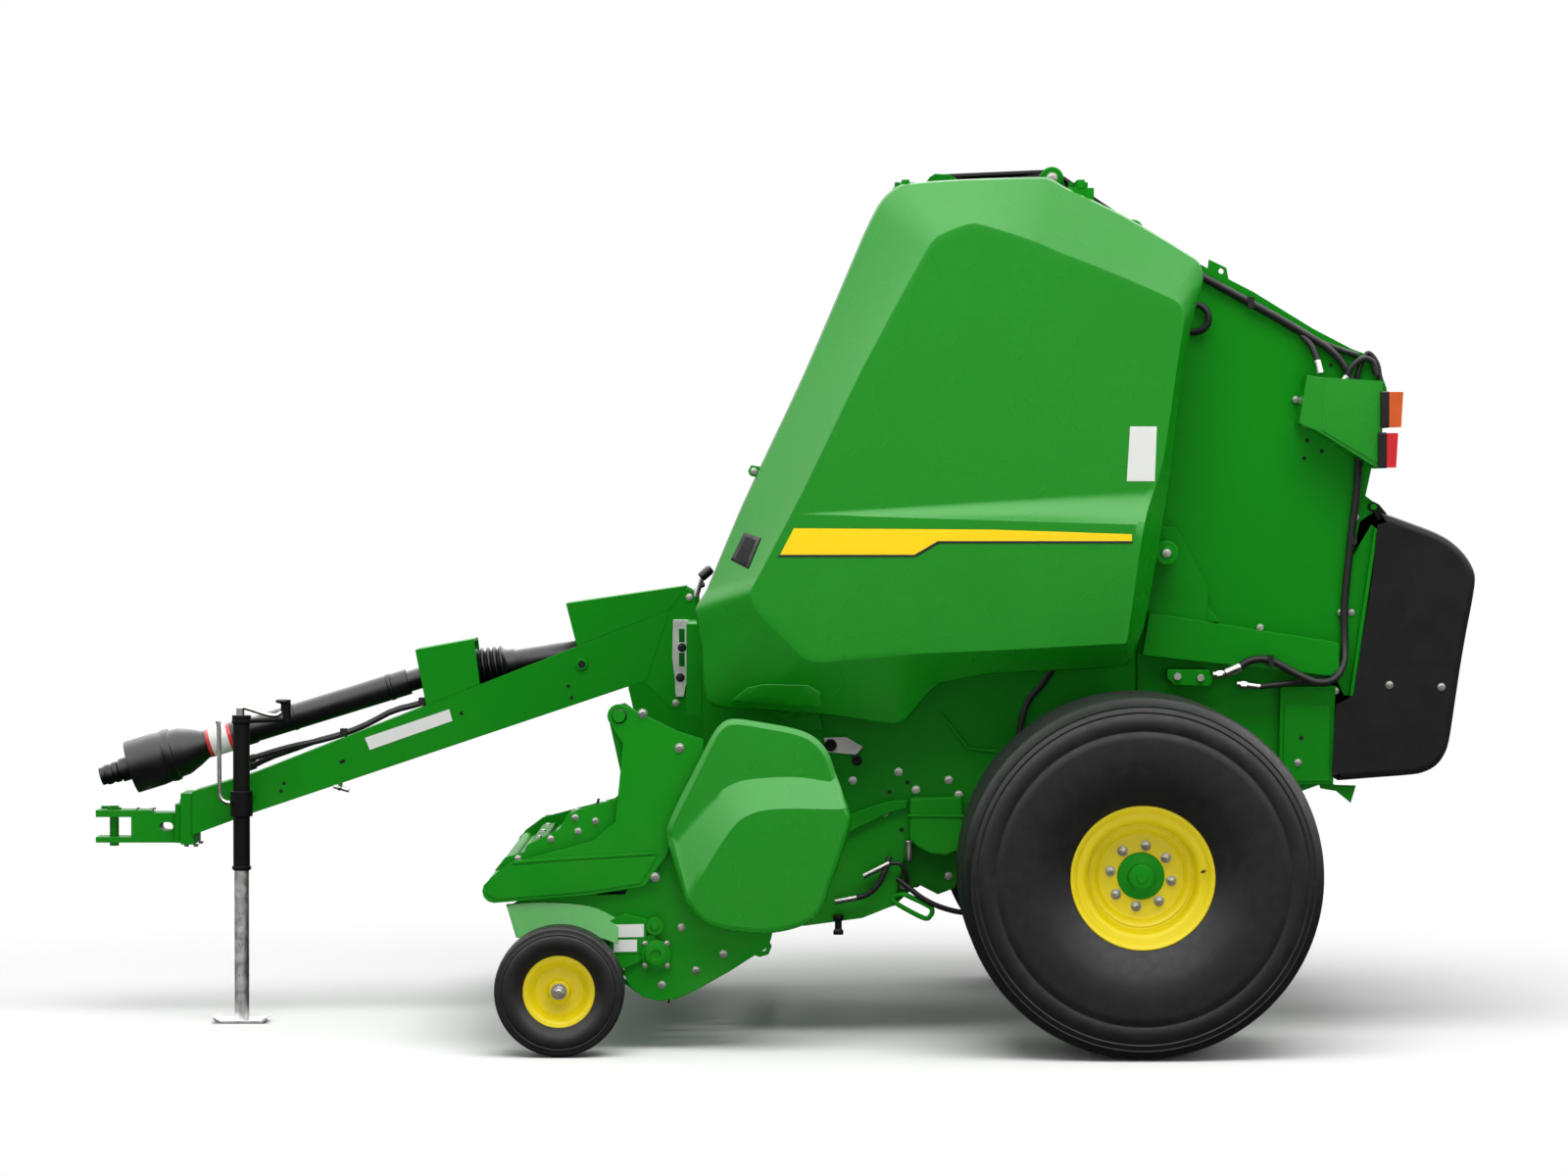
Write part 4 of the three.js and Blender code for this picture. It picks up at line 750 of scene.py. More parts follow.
def shield_skin():
    rim = rounded(SHIELD_RIM)
    face = rounded(SHIELD_FACE)
    count = len(rim)
    work = bmesh.new()

    def ring(points, outs):
        return [work.verts.new((x, out, z)) for (x, z), out in zip(points, outs)]

    def inward(points, distance):
        return [towards(p, SHIELD_MIDDLE, distance) for p in points]

    edge = SHIELD_RIM_OUT + RIM_DEPTH
    rings = [ring(inward(rim, back), [SHIELD_RIM_OUT + out] * count) for back, out in RIM_ROWS]
    for t in FLANK_ROWS:
        points = [(a[0] + (b[0] - a[0]) * t, a[1] + (b[1] - a[1]) * t) for a, b in zip(rim, face)]
        lift = t if t < 0.95 else t + 0.006
        rings.append(ring(points, [edge + (shield_out(*b) - edge) * lift for b in face]))
    rings.append(ring(face, [shield_out(x, z) for x, z in face]))
    inner_edge = inward(face, FLAT_START)
    last = ring(inner_edge, [SHIELD_FACE_OUT] * count)
    rings.append(last)
    walls(work, rings)
    work.faces.new(last)
    flat = set(last)
    spots = [LEDGE_FOOT, *[(60, LEDGE_FOOT[1] + k * 18) for k in range(1, 6)], LEDGE_HEAD]
    cuts = []
    for spot in spots:
        along = Vector((spot[0] - LEDGE_POINT[0], 0, spot[1] - LEDGE_POINT[1]))
        cuts.append((Vector((LEDGE_POINT[0], 0, LEDGE_POINT[1])), Vector((-along.z, 0, along.x))))
    cuts += [(Vector((x, 0, 0)), Vector((1, 0, 0))) for x in range(-1050, 100, 75)]
    for point, normal in cuts:
        inner = [f for f in work.faces if all(v in flat for v in f.verts)]
        geometry = inner + list({e for f in inner for e in f.edges})
        geometry += list({v for f in inner for v in f.verts})
        made = bmesh.ops.bisect_plane(
            work, geom=geometry, plane_co=point, plane_no=normal, dist=1e-3
        )
        flat.update(v for v in made["geom_cut"] if isinstance(v, bmesh.types.BMVert))
    for v in flat:
        v.co.y = shield_out(v.co.x, v.co.z)
    return shape_of(work)


SHIELD = "{}_side_shield"
SKIN = shield_skin()
pair("shield_skin", SKIN, GREEN, SHIELD, stands_for=SHIELD, solid=7, angle=26)
SKIN_TREE = BVHTree.FromPolygons([Vector(v) for v in SKIN.verts], SKIN.faces)
OUTSIDE = 2000  # clear of the machine


def conform(outline, lift, step=30):
    """An outline in X and Z laid on the shield, standing proud of it by lift."""
    work = bmesh.new()
    work.faces.new([work.verts.new((x, 0, z)) for x, z in outline])
    xs, zs = [p[0] for p in outline], [p[1] for p in outline]
    planes = [((x, 0, 0), (1, 0, 0)) for x in range(int(min(xs)) + 7, int(max(xs)), step)]
    planes += [((0, 0, z), (0, 0, 1)) for z in range(int(min(zs)) + 7, int(max(zs)), step)]
    for point, normal in planes:
        geometry = list(work.faces) + list(work.edges) + list(work.verts)
        bmesh.ops.bisect_plane(work, geom=geometry, plane_co=point, plane_no=normal, dist=1e-3)
    for v in work.verts:
        hit, *_ = SKIN_TREE.ray_cast(Vector((v.co.x, OUTSIDE, v.co.z)), -ACROSS)
        v.co.y = (hit.y if hit else 0) + (lift(v.co.z) if callable(lift) else lift)
    return shape_of(work)


STRIPE_OUTLINE = [
    (-1045, 1592), (-1087, 1511), (-676, 1511), (-604, 1553), (-10, 1553), (-10, 1574),
    (-445, 1588),
]  # fmt: skip
UNDERLINE = [
    (-1092, 1511), (-1094, 1504), (-672, 1504), (-600, 1546), (-8, 1546), (-8, 1553),
    (-604, 1553), (-676, 1511),
]  # fmt: skip
HANDLE = [(-1198, 1580), (-1147, 1562), (-1186, 1468), (-1240, 1495)]
PRESSED_PAD = [
    (-1236, 1060), (-1189, 1100), (-1135, 1112), (-1000, 1109), (-962, 1084), (-961, 1040),
]  # fmt: skip
PAD_TOP, PAD_LEAN = 1112, 0.16
SHIELD_PLATE = [(-12, 1904), (70, 1904), (64, 1736), (-22, 1736)]


def pad_lift(z):
    return 1 + (PAD_TOP - z) * PAD_LEAN


for name, outline, lift, material, options in (
    ("stripe", STRIPE_OUTLINE, 1.2, STRIPE, {"solid": 1.2}),
    ("underline", UNDERLINE, 1.0, INK, {"solid": 1.0}),
    ("plate", SHIELD_PLATE, 1.2, PLATE, {"solid": 1.2}),
    ("handle_rim", HANDLE, 5, BLACK, {"solid": 6, "bevel": 2}),
    # The handle's recess is a near-black sheet: painted shade.
    ("handle", inset(HANDLE, 11), 6.0, HOLE_SHADE, {"solid": 1}),
    ("pressed_pad", PRESSED_PAD, pad_lift, GREEN, {"solid": 5, "bevel": 2}),
):
    pair(f"shield_{name}", conform(outline, lift), material, SHIELD, **options)

HINGE_LINE = pivot("right_shield_open")
ARM_LOW, ARM_HIGH = HINGE_LINE.z - 14, HINGE_LINE.z + 13
FOOT_LOW, FOOT_HIGH = HINGE_LINE.z - 55, HINGE_LINE.z - 12
hinge_arms = total(
    block(x - 12, x + 12, HINGE_LINE.y + 12, SHIELD_RIM_OUT + 22, ARM_LOW, ARM_HIGH)
    + bar(16, (x - 12, HINGE_LINE.y, HINGE_LINE.z), (x + 12, HINGE_LINE.y, HINGE_LINE.z), 20)
    + block(x - 40, x + 40, SHIELD_RIM_OUT + 8, SHIELD_RIM_OUT + 20, FOOT_LOW, FOOT_HIGH)
    for x in (-700, -160)
)
pair("shield_arms", hinge_arms, FRAME_GREEN, SHIELD, bevel=1.5)
CATCH = [
    (-1122, 1742), (-1170, 1752), (-1186, 1768), (-1176, 1786), (-1154, 1782), (-1108, 1772),
]  # fmt: skip
catch = prism(CATCH, SHIELD_RIM_OUT + 6, SHIELD_RIM_OUT + 14)
catch = catch + rods([(17, (-1168, 2, 1767), (-1168, 22, 1767), 20)], SHIELD_RIM_OUT)
pair("shield_catch", catch, FRAME_GREEN, SHIELD, angle=35)
bolts("shield_catch_bolt", [(-1168, 1767)], SHIELD_RIM_OUT + 22, 15, SHIELD)
RIB_FOOT, RIB_TOP, RIB_REAR, RIB_HEAD = (-1150, 1420), (-560, 2560), (-20, 1330), (60, 2260)
inner_ribs = total(
    line([(x, 30, z) for x, z in ends], SHIELD_RIM_OUT, 14, 10, 1)
    for ends in ((RIB_FOOT, RIB_TOP), (RIB_FOOT, RIB_REAR), (RIB_TOP, RIB_HEAD))
)
# The shield's inner frame takes the darker green: painted shade.
pair("shield_inner_frame", inner_ribs, SHADED_GREEN, SHIELD)

# ---------------------------------------------------------------- drive shields

DRIVE_OUT = outer("right_drive_shield")
DRIVE_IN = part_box("right_drive_shield")[0].y * 1000
OVER = [
    (-1430, 650), (-1422, 708), (-1330, 894), (-1297, 958), (-1272, 994),
    (-1236, 1014), (-1160, 1007), (-1016, 977), (-948, 924), (-914, 838),
]  # fmt: skip
RIGHT_BAND = [(-914, 838), (-897, 793), (-880, 749)]
UNDER = [
    (-880, 749), (-871, 696), (-927, 524), (-980, 412), (-1105, 367), (-1253, 376),
    (-1327, 406), (-1377, 465),
]  # fmt: skip
LEFT_BAND = [(-1377, 465), (-1404, 556), (-1430, 650)]
UPPER_CURVE = [(-1430, 650), (-1306, 761), (-1238, 814), (-1164, 833), (-1040, 838), (-914, 838)]
LOWER_CURVE = [(-1377, 465), (-1305, 575), (-1240, 675), (-1190, 722), (-1100, 744), (-880, 749)]
STEP_DEPTH = 42
DRIVE_MIDDLE = (-1150, 690)


def flat_path(points, per):
    return [(p.x, p.z) for p in smooth_path([(x, 0, z) for x, z in points], per)]


def drive_skin():
    work = bmesh.new()
    per = 5
    chains = [
        [(p, STEP_DEPTH) for p in flat_path(OVER, per)],
        [(p, None) for p in flat_path(RIGHT_BAND, 4)],
        [(p, 0) for p in flat_path(UNDER, per)],
        [(p, None) for p in flat_path(LEFT_BAND, 4)],
    ]
    for chain, rising in ((chains[1], False), (chains[3], True)):
        for k, (p, _) in enumerate(chain):
            share = k / (len(chain) - 1)
            chain[k] = (p, STEP_DEPTH * (share if rising else 1 - share))
    outline = [entry for chain in chains for entry in chain[:-1]]
    points = [p for p, _ in outline]
    deep = [d for _, d in outline]
    count = len(points)
    rows = [
        (0, DRIVE_IN, 0), (0, DRIVE_OUT - 20, 0.7), (3, DRIVE_OUT - 11, 0.9),
        (9, DRIVE_OUT - 3.5, 1), (17, DRIVE_OUT, 1), (26, DRIVE_OUT, 1),
    ]  # fmt: skip
    rings = []
    for distance, out, share in rows:
        moved = [towards(p, DRIVE_MIDDLE, distance) for p in points]
        rings.append([work.verts.new((x, out - d * share, z)) for (x, z), d in zip(moved, deep)])
    walls(work, rings)
    last = rings[-1]
    sizes = [len(chain) - 1 for chain in chains]
    starts = [sum(sizes[:k]) for k in range(4)]
    over = last[starts[0] : starts[1] + 1]
    right = last[starts[1] : starts[2] + 1]
    under = last[starts[2] : starts[3] + 1]
    left = [*last[starts[3] :], last[0]]
    steps = 26

    def spaced(curve, first, final):
        ends = [(v.co.x, v.co.z) for v in (first, final)]
        path = flat_path([ends[0], *curve[1:-1], ends[1]], 12)
        total_length = sum((Vector(b) - Vector(a)).length for a, b in zip(path, path[1:]))
        found, gone, k = [], 0.0, 0
        for a, b in zip(path, path[1:]):
            length = (Vector(b) - Vector(a)).length
            while k < steps - 1 and (k + 1) / steps * total_length <= gone + length:
                share = ((k + 1) / steps * total_length - gone) / length
                found.append(Vector(a).lerp(Vector(b), share))
                k += 1
            gone += length
        return [first, *found, final]

    band_rows = len(right) - 1
    top = spaced(UPPER_CURVE, over[0], over[-1])
    low = spaced(LOWER_CURVE, under[-1], under[0])
    grid = []
    for row in range(band_rows + 1):
        share = row / band_rows
        line = []
        for k in range(steps + 1):
            if k == 0:
                line.append(left[len(left) - 1 - row])
            elif k == steps:
                line.append(right[row])
            else:
                spot = top[k].lerp(low[k], share)
                line.append(work.verts.new((spot.x, DRIVE_OUT - STEP_DEPTH * (1 - share), spot.y)))
        grid.append(line)
    for a, b in zip(grid, grid[1:]):
        for k in range(steps):
            work.faces.new((a[k], a[k + 1], b[k + 1], b[k]))
    work.faces.new([*over[:-1], *reversed(grid[0][1:])])
    work.faces.new([*under[:-1], *grid[-1][:-1]])
    return shape_of(work)


pair("drive_skin", drive_skin(), GREEN, "frame", stands_for="{}_drive_shield", solid=6, angle=20)

# ---------------------------------------------------------------- main wheels

MAIN_WHEEL = "{}_main_wheel"


def tyre_profile(radius, width, bead, bead_width, grooves, sidewall):
    """A tyre's outer section, from one bead over the tread to the other."""
    side = radius - bead
    grown = width / 540  # the shoulder and grooves are drawn for a tyre 540 mm wide
    rim = bead_width / 2
    half = [
        (bead + 1, rim - 14),
        (bead - 2, rim + 2),
        (bead + 6, rim + 10),
        (bead + side * 0.1, rim + (width - bead_width) * 0.22),
        (bead + side * 0.22, rim + (width - bead_width) * 0.4),
    ]
    half += [(bead + side * share, width / 2 - bulge) for share, bulge in sidewall]
    tread = width / 2 - 62 * grown
    half += [
        (radius - 30 * grown, width / 2 - 24 * grown),
        (radius - 9, width / 2 - 46 * grown),
        (radius - 2, tread),
    ]
    deep = radius - 11 * grown
    for place, wide in grooves:
        middle = tread * place
        half += [
            (radius - 0.5, middle + wide),
            (deep, middle + wide * 0.7),
            (deep, middle - wide * 0.7),
            (radius - 0.5, middle - wide),
        ]
    return half + [(r, -h) for r, h in reversed(half)]


def turned_wheel(name, profile, centre, material, body, node, sides, angle):
    """A turned part of both wheels, standing for the CAD wheel's own part."""
    made = turned(profile, centre, ACROSS, sides, closed=True)
    pair(name, made, material, body, stands_for=node, angle=angle)


MAIN_SIDEWALL = [
    (0.32, 3), (0.45, 0), (0.6, 1), (0.66, 2), (0.672, 5), (0.69, 5), (0.702, 2.5), (0.78, 6),
    (0.83, 9), (0.838, 12), (0.848, 12), (0.856, 10), (0.885, 13), (0.893, 16), (0.903, 16),
    (0.911, 15),
]  # fmt: skip
RIM = half("right_main_rim", "z")
RIM_HALF = half("right_main_rim", "y")
TYRE_HALF = half("right_main_tyre", "y")
GROOVES = [(0.86, 7), (0.52, 9), (0.17, 9)]
HUB = (0, TRACK, AXLE_Z)
TYRE_BACK = (AXLE_Z - 60, TYRE_HALF - 90)  # radius and half width of the tyre's inside
main_tyre = tyre_profile(AXLE_Z - 0.5, 2 * TYRE_HALF, RIM, 2 * RIM_HALF, GROOVES, MAIN_SIDEWALL)
main_tyre += [(TYRE_BACK[0], -TYRE_BACK[1]), TYRE_BACK]
turned_wheel("tyre", main_tyre, HUB, TYRE, MAIN_WHEEL, "{}_main_tyre", 160, 50)
DISC = RIM_HALF - 95
rim_profile = [
    (58, DISC + 2), (122, DISC + 3), (128, DISC + 5), (134, DISC + 12), (143, DISC + 23),
    (150, DISC + 27), (156, DISC + 26), (160, DISC + 30), (166, RIM_HALF - 34),
    (176, RIM_HALF - 22), (184, RIM_HALF - 19), (196, RIM_HALF - 16), (205, RIM_HALF - 6),
    (211, RIM_HALF - 1),
    (RIM - 4, RIM_HALF), (RIM, RIM_HALF - 4), (RIM, RIM_HALF - 12), (RIM - 8, RIM_HALF - 18),
    (RIM - 20, RIM_HALF - 24), (RIM - 20, -RIM_HALF + 20), (RIM - 6, -RIM_HALF + 2),
    (RIM - 30, -RIM_HALF + 2), (RIM - 34, RIM_HALF - 70), (128, DISC - 10), (58, DISC - 10),
]  # fmt: skip
turned_wheel("rim", rim_profile, HUB, YELLOW, MAIN_WHEEL, "{}_main_rim", 128, 30)
hub_profile = [
    (0, DISC + 52), (16, DISC + 52), (19, DISC + 48), (33, DISC + 46), (38, DISC + 42),
    (41, DISC + 18), (52, DISC + 13), (67, DISC + 11), (71, DISC + 7), (71, DISC + 2),
    (50, DISC + 1), (50, -88), (42, -88), (42, -20), (0, -20),
]  # fmt: skip
main_hub = turned(hub_profile, HUB, ACROSS, 64)
pair("hub", main_hub, FRAME_GREEN, MAIN_WHEEL, stands_for="{}_main_hub", angle=30)
NUT_PLACES = circle_of((0, TRACK + DISC + 3, AXLE_Z), ACROSS, 93, 8, math.radians(9))
nuts = total(bolt(p, ACROSS, 22) + bar(6, p, p + ACROSS * 19, 10, 1) for p in NUT_PLACES)
pair("wheel_nuts", nuts, ZINC, MAIN_WHEEL, angle=30)
valve_path = [(188, -24, AXLE_Z + 20), (184, -8, AXLE_Z + 20), (176, 4, AXLE_Z + 19)]
pair("valve", line(valve_path, TRACK + RIM_HALF, 4, 8), BLACK, MAIN_WHEEL)

# ---------------------------------------------------------------- gauge wheels

GAUGE_WHEEL = "{}_gauge_wheel"
GAUGE = pivot("right_gauge_spin")
GAUGE_R = half("right_gauge_tyre", "z")
GAUGE_W = 2 * half("right_gauge_tyre", "y")
GAUGE_RIM = half("right_gauge_rim", "z")
gauge_sidewall = [(0.3, 2), (0.45, 0), (0.62, 1), (0.68, 3), (0.7, 5), (0.73, 3.5), (0.82, 7)]
gauge_tyre = tyre_profile(
    GAUGE_R, GAUGE_W, GAUGE_RIM, 106, [(0.6, 3.5), (0.08, 3.5)], gauge_sidewall
)
gauge_tyre += [(GAUGE_R - 25, -GAUGE_W / 2 + 30), (GAUGE_R - 25, GAUGE_W / 2 - 30)]
turned_wheel("small_tyre", gauge_tyre, GAUGE, TYRE, GAUGE_WHEEL, "{}_gauge_tyre", 96, 45)
gauge_rim_profile = [
    (14, 44), (28, 44), (32, 40), (35, 26), (42, 20), (60, 18), (72, 20), (84, 32), (92, 44),
    (99, 49), (105, 50), (108, 54), (GAUGE_RIM, 53), (GAUGE_RIM, 46), (GAUGE_RIM - 6, 40),
    (GAUGE_RIM - 6, -40), (GAUGE_RIM, -50), (GAUGE_RIM - 4, -54), (98, -50), (96, 8), (60, 4),
    (30, 4), (27, -52), (14, -52),
]  # fmt: skip
turned_wheel("small_rim", gauge_rim_profile, GAUGE, YELLOW, GAUGE_WHEEL, "{}_gauge_rim", 80, 32)
stub = bar(9, GAUGE + ACROSS * 44, GAUGE + ACROSS * 70, 12, 2)
pair("small_nut", bolt(GAUGE + ACROSS * 45, ACROSS, 34) + stub, ZINC, GAUGE_WHEEL, angle=30)

# ---------------------------------------------------------------- net cover

COVER_OUT = outer("net_cover")
COVER_OUTLINE = [
    (786, 1640), (880, 1606), (960, 1575), (1010, 1545), (1050, 1505), (1075, 1462), (1081, 1425),
    (1072, 1360), (1055, 1270), (1036, 1158), (1018, 1035), (1001, 925), (985, 880), (960, 848),
    (925, 829), (883, 820), (770, 811), (655, 802),
]  # fmt: skip


def cover_skin():
    """The moulded cover: two cheeks and a wrap-round, open to the front."""
    wrap = flat_path(COVER_OUTLINE, 3)
    front = [(634, 815), (646, 1040), (700, 1067), (760, 1450), (774, 1600)]
    work = bmesh.new()
    soft = [(-COVER_OUT, 24), (-COVER_OUT + 3, 12), (-COVER_OUT + 10, 4), (-COVER_OUT + 24, 0)]
    ys = [*soft, *[(y, 0) for y in (-420, -210, 0, 210, 420)]]
    ys += [(-y, d) for y, d in reversed(soft)]
    lines = []
    for y, distance in ys:
        ring = inset([*wrap, *front], distance)[: len(wrap)] if distance else wrap
        lines.append([work.verts.new((x, y, z)) for x, z in ring])
    for a, b in zip(lines, lines[1:]):
        for k in range(len(wrap) - 1):
            work.faces.new((a[k], a[k + 1], b[k + 1], b[k]))
    for line, y in ((lines[0], -COVER_OUT), (lines[-1], COVER_OUT)):
        work.faces.new([*line, *[work.verts.new((x, y, z)) for x, z in front]])
    bmesh.ops.recalc_face_normals(work, faces=work.faces)
    return shape_of(work)


cover = cover_skin()
piece("net_cover_skin", cover, COVER, "net_cover", solid=9, angle=30, stands_for="net_cover")
COVER_LUG = [
    (800, 1632), (778, 1612), (764, 1638), (748, 1650), (748, 1664), (764, 1673), (781, 1664),
    (806, 1634),
]  # fmt: skip
cover_lugs = prism(COVER_LUG, COVER_OUT - 44, COVER_OUT - 21)
pair("net_cover_lugs", cover_lugs, BLACK_PAINT, "net_cover", bevel=1.5)
bolts("net_cover_bolts", [(812, 1101), (974, 1095)], COVER_OUT, 17, "net_cover")

# ---------------------------------------------------------------- belts, cut into separate strips

BELT_COUNT = 6
BELT_SPACE = 34


def belt_strips(node):
    """The bank of belts as separate strips with a space between them."""
    low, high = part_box(node)
    width = (high.y - low.y) / BELT_COUNT
    whole = bmesh.new()
    for k in range(BELT_COUNT):
        start = low.y + width * k + BELT_SPACE / 2000
        work = bmesh.new()
        work.from_mesh(NODES[node].data)
        bmesh.ops.transform(work, matrix=NODES[node].matrix_world, verts=work.verts)
        bmesh.ops.remove_doubles(work, verts=work.verts, dist=2e-5)
        for place, normal in ((start, -1), (start + width - BELT_SPACE / 1000, 1)):
            cut = bmesh.ops.bisect_plane(
                work,
                geom=list(work.faces) + list(work.edges) + list(work.verts),
                plane_co=(0, place, 0),
                plane_no=(0, normal, 0),
                dist=1e-6,
                clear_outer=True,
            )
            edges = [e for e in cut["geom_cut"] if isinstance(e, bmesh.types.BMEdge)]
            bmesh.ops.triangle_fill(work, use_beauty=True, use_dissolve=True, edges=edges)
        strip = bpy.data.meshes.new("strip")
        work.to_mesh(strip)
        whole.from_mesh(strip)
        bpy.data.meshes.remove(strip)
        work.free()
    mesh = bpy.data.meshes.new(f"{node}_strips")
    bmesh.ops.recalc_face_normals(whole, faces=whole.faces)
    whole.to_mesh(mesh)
    whole.free()
    made = bpy.data.objects.new(f"{node}_strips", mesh)
    bpy.context.scene.collection.objects.link(made)
    mesh.materials.append(BELT)
    finish_mesh(mesh, 25)
    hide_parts(node)
    return made


for bank, body in (("front_belts", "frame"), ("gate_belts", "gate")):
    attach(belt_strips(bank), body)

GUIDE_ROLLERS = [(-596, 2664, 24), (-250, 2640, 63), (12, 2500, 32)]  # x, z, radius in mm
RUN_THICK = 9
RUN_START, RUN_END = 215, -95  # degrees round the first and the last roller


def belt_run(rollers, thick, y0, y1):
    """One belt laid over a row of rollers, as a swept strip with closed ends."""
    leaving = []
    for (ax, az, ar), (bx, bz, br) in zip(rollers, rollers[1:]):
        step = Vector((bx - ax, bz - az))
        along = step.normalized()
        lean = (ar - br) / step.length
        up = Vector((-along.y, along.x))
        normal = along * lean + up * math.sqrt(1 - lean * lean)
        leaving.append(math.degrees(math.atan2(normal.y, normal.x)))
    path = []
    for (x, z, r), a0, a1 in zip(rollers, [RUN_START, *leaving], [*leaving, RUN_END]):
        for k in range(9):
            turn = math.radians(a0 + (a1 - a0) * k / 8)
            path.append((x, z, r, math.cos(turn), math.sin(turn)))
    points = []
    for x, z, r, c, s in path:
        for radius, y in ((r, y0), (r + thick, y0), (r + thick, y1), (r, y1)):
            points.append((x + radius * c, y, z + radius * s))
    faces = [(0, 1, 2, 3), tuple(len(points) - k for k in (1, 2, 3, 4))]
    for k in range(len(path) - 1):
        a, b = 4 * k, 4 * k + 4
        for i in range(4):
            j = (i + 1) % 4
            faces.append((a + i, b + i, b + j, a + j))
    return Shape(points, faces)

BANK_WIDTH = 1140
GUIDE_HALF, STUB_HALF = 572, 588
PITCH = BANK_WIDTH / BELT_COUNT
belt_starts = [PITCH * k - BANK_WIDTH / 2 + BELT_SPACE / 2 for k in range(BELT_COUNT)]
runs = total(
    belt_run(GUIDE_ROLLERS, RUN_THICK, y, y + PITCH - BELT_SPACE) for y in belt_starts
)
piece("belt_top_run", runs, BELT, "frame", angle=25)
guides = total(
    bar(r - 0.5, (x, -GUIDE_HALF, z), (x, GUIDE_HALF, z), 32, 2)
    + bar(9, (x, -STUB_HALF, z), (x, STUB_HALF, z), 12)
    for x, z, r in (GUIDE_ROLLERS[0], GUIDE_ROLLERS[2])
)
piece("guide_rollers", guides, BLACK_PAINT, "frame", angle=35)
caps = turned([(0, 0), (36, 0), (36, 16), (31, 20), (0, 20)], (-240, 626, 2680), ACROSS, 36)
caps = caps + turned([(0, 0), (34, 0), (34, 12), (30, 16), (0, 16)], (12, 626, 2518), ACROSS, 32)
EAR = [(-640, 2640), (-622, 2684), (-604, 2696), (-560, 2694), (-528, 2676), (-520, 2640)]
pair("roller_caps", caps + prism(EAR, 596, 608), FRAME_GREEN, "frame", bevel=1.5)
CAP_PAD = [(-272, 2618), (-280, 2690), (-262, 2708), (-222, 2706), (-206, 2690), (-190, 2600)]
plates("roller_cap_pads", CAP_PAD, 612, 628, 2)
cap_bolts = bolt((-240, 646, 2681), ACROSS, 24) + bolt((12, 642, 2520), ACROSS, 20)
pair("roller_cap_bolts", cap_bolts, ZINC, "frame", angle=30)

# ---------------------------------------------------------------- driveline guards, boot and bands

SLIDE = Vector(JOINTS["driveline_slide"]["axis"])
DRIVE_DIRECTION = SLIDE if SLIDE.x < 0 else -SLIDE
MOUTH = Vector((-3196, 0, 806))
GUARD_R = 86
BELL_PROFILE = [
    (45, -420), (44, -262), (46, -250), (60, -222), (73, -190), (77, -178), (79, -150), (85, -146),
    (87, -132), (84, -118), (81, -112), (80, -96), (84, -92), (84, -86), (80, -82), (80, -62),
    (84, -58), (84, -52), (80, -48), (81, -28), (85, -24), (GUARD_R, -10), (GUARD_R, 0),
    (GUARD_R - 5, 0), (GUARD_R - 8, -24), (75, -100), (74, -150), (60, -190), (44.5, -236),
    (42.5, -420),
]  # fmt: skip

DRIVE_FRONT = "driveline_front"


def on_drive(radius, angle, distance):
    """A place round the driveline, an angle in degrees and a distance along from its mouth."""
    axis, u, v = basis(DRIVE_DIRECTION)
    turn = math.radians(angle)
    return MOUTH + axis * distance + (u * math.cos(turn) + v * math.sin(turn)) * radius


def drive_ring(profile, sides, along=0):
    """A ring round the driveline, its profile as radius and distance from the mouth."""
    return turned([(r, d + along) for r, d in profile], MOUTH, DRIVE_DIRECTION, sides, True)


piece("bell_guard_ribs", drive_ring(BELL_PROFILE, 64), BLACK, DRIVE_FRONT, angle=28)
# Near-black plugs in the bell guard's slots: painted shade for the openings.
slots = total(
    bar(6, on_drive(78, angle, distance), on_drive(82.6, angle, distance), 12)
    for start in (25, 70, 115, 205, 250, 295)
    for distance in (-40, -72)
    for angle in (start, start + 10)
)
piece("bell_guard_slots", slots, HOLE_SHADE, DRIVE_FRONT)
RED_BAND = [(45.6, -345), (46.2, -344), (46.2, -262), (45.6, -261)]
WHITE_BAND = [(46.4, -333), (46.9, -332), (46.9, -274), (46.4, -273)]
TUBE_RIB = [(42, -560), (43.5, -556), (43.5, -548), (42, -544)]
RIB_STEP = -330
piece("guard_band_red", drive_ring(RED_BAND, 48), RED, DRIVE_FRONT)
piece("guard_band_white", drive_ring(WHITE_BAND, 48), PLATE, DRIVE_FRONT)
rings = drive_ring(TUBE_RIB, 40) + drive_ring(TUBE_RIB, 40, RIB_STEP)
piece("guard_tube_rings", rings, BLACK, DRIVE_FRONT)
COLLAR = [
    (30.5, 40), (34, 44), (34, 58), (30.5, 62), (30.5, 68), (33, 72), (33, 84), (30.5, 88),
    (29.5, 88), (29.5, 40),
]  # fmt: skip
piece("yoke_collar", drive_ring(COLLAR, 40), SHAFT, "driveline_yoke")

BOOT_START, BOOT_END = Vector((-2084, 0, 1124)), Vector((-1647, 0, 1194))
folds = [(48, 2), (48, 8)]
for k in range(5):
    folds += [(66 - k, 14 + k * 20), (66 - k, 19 + k * 20), (51, 27 + k * 20)]
boot_profile = [(0, 1.5), *folds, (47, 122), (47, 138), (42, 144), (41, 436), (0, 436)]
boot = turned(boot_profile, BOOT_START, BOOT_END - BOOT_START, 56)
piece("rear_guard_boot", boot, BLACK, "frame", angle=40, stands_for="driveline_rear_guard")

# ---------------------------------------------------------------- tongue, hitch and jack

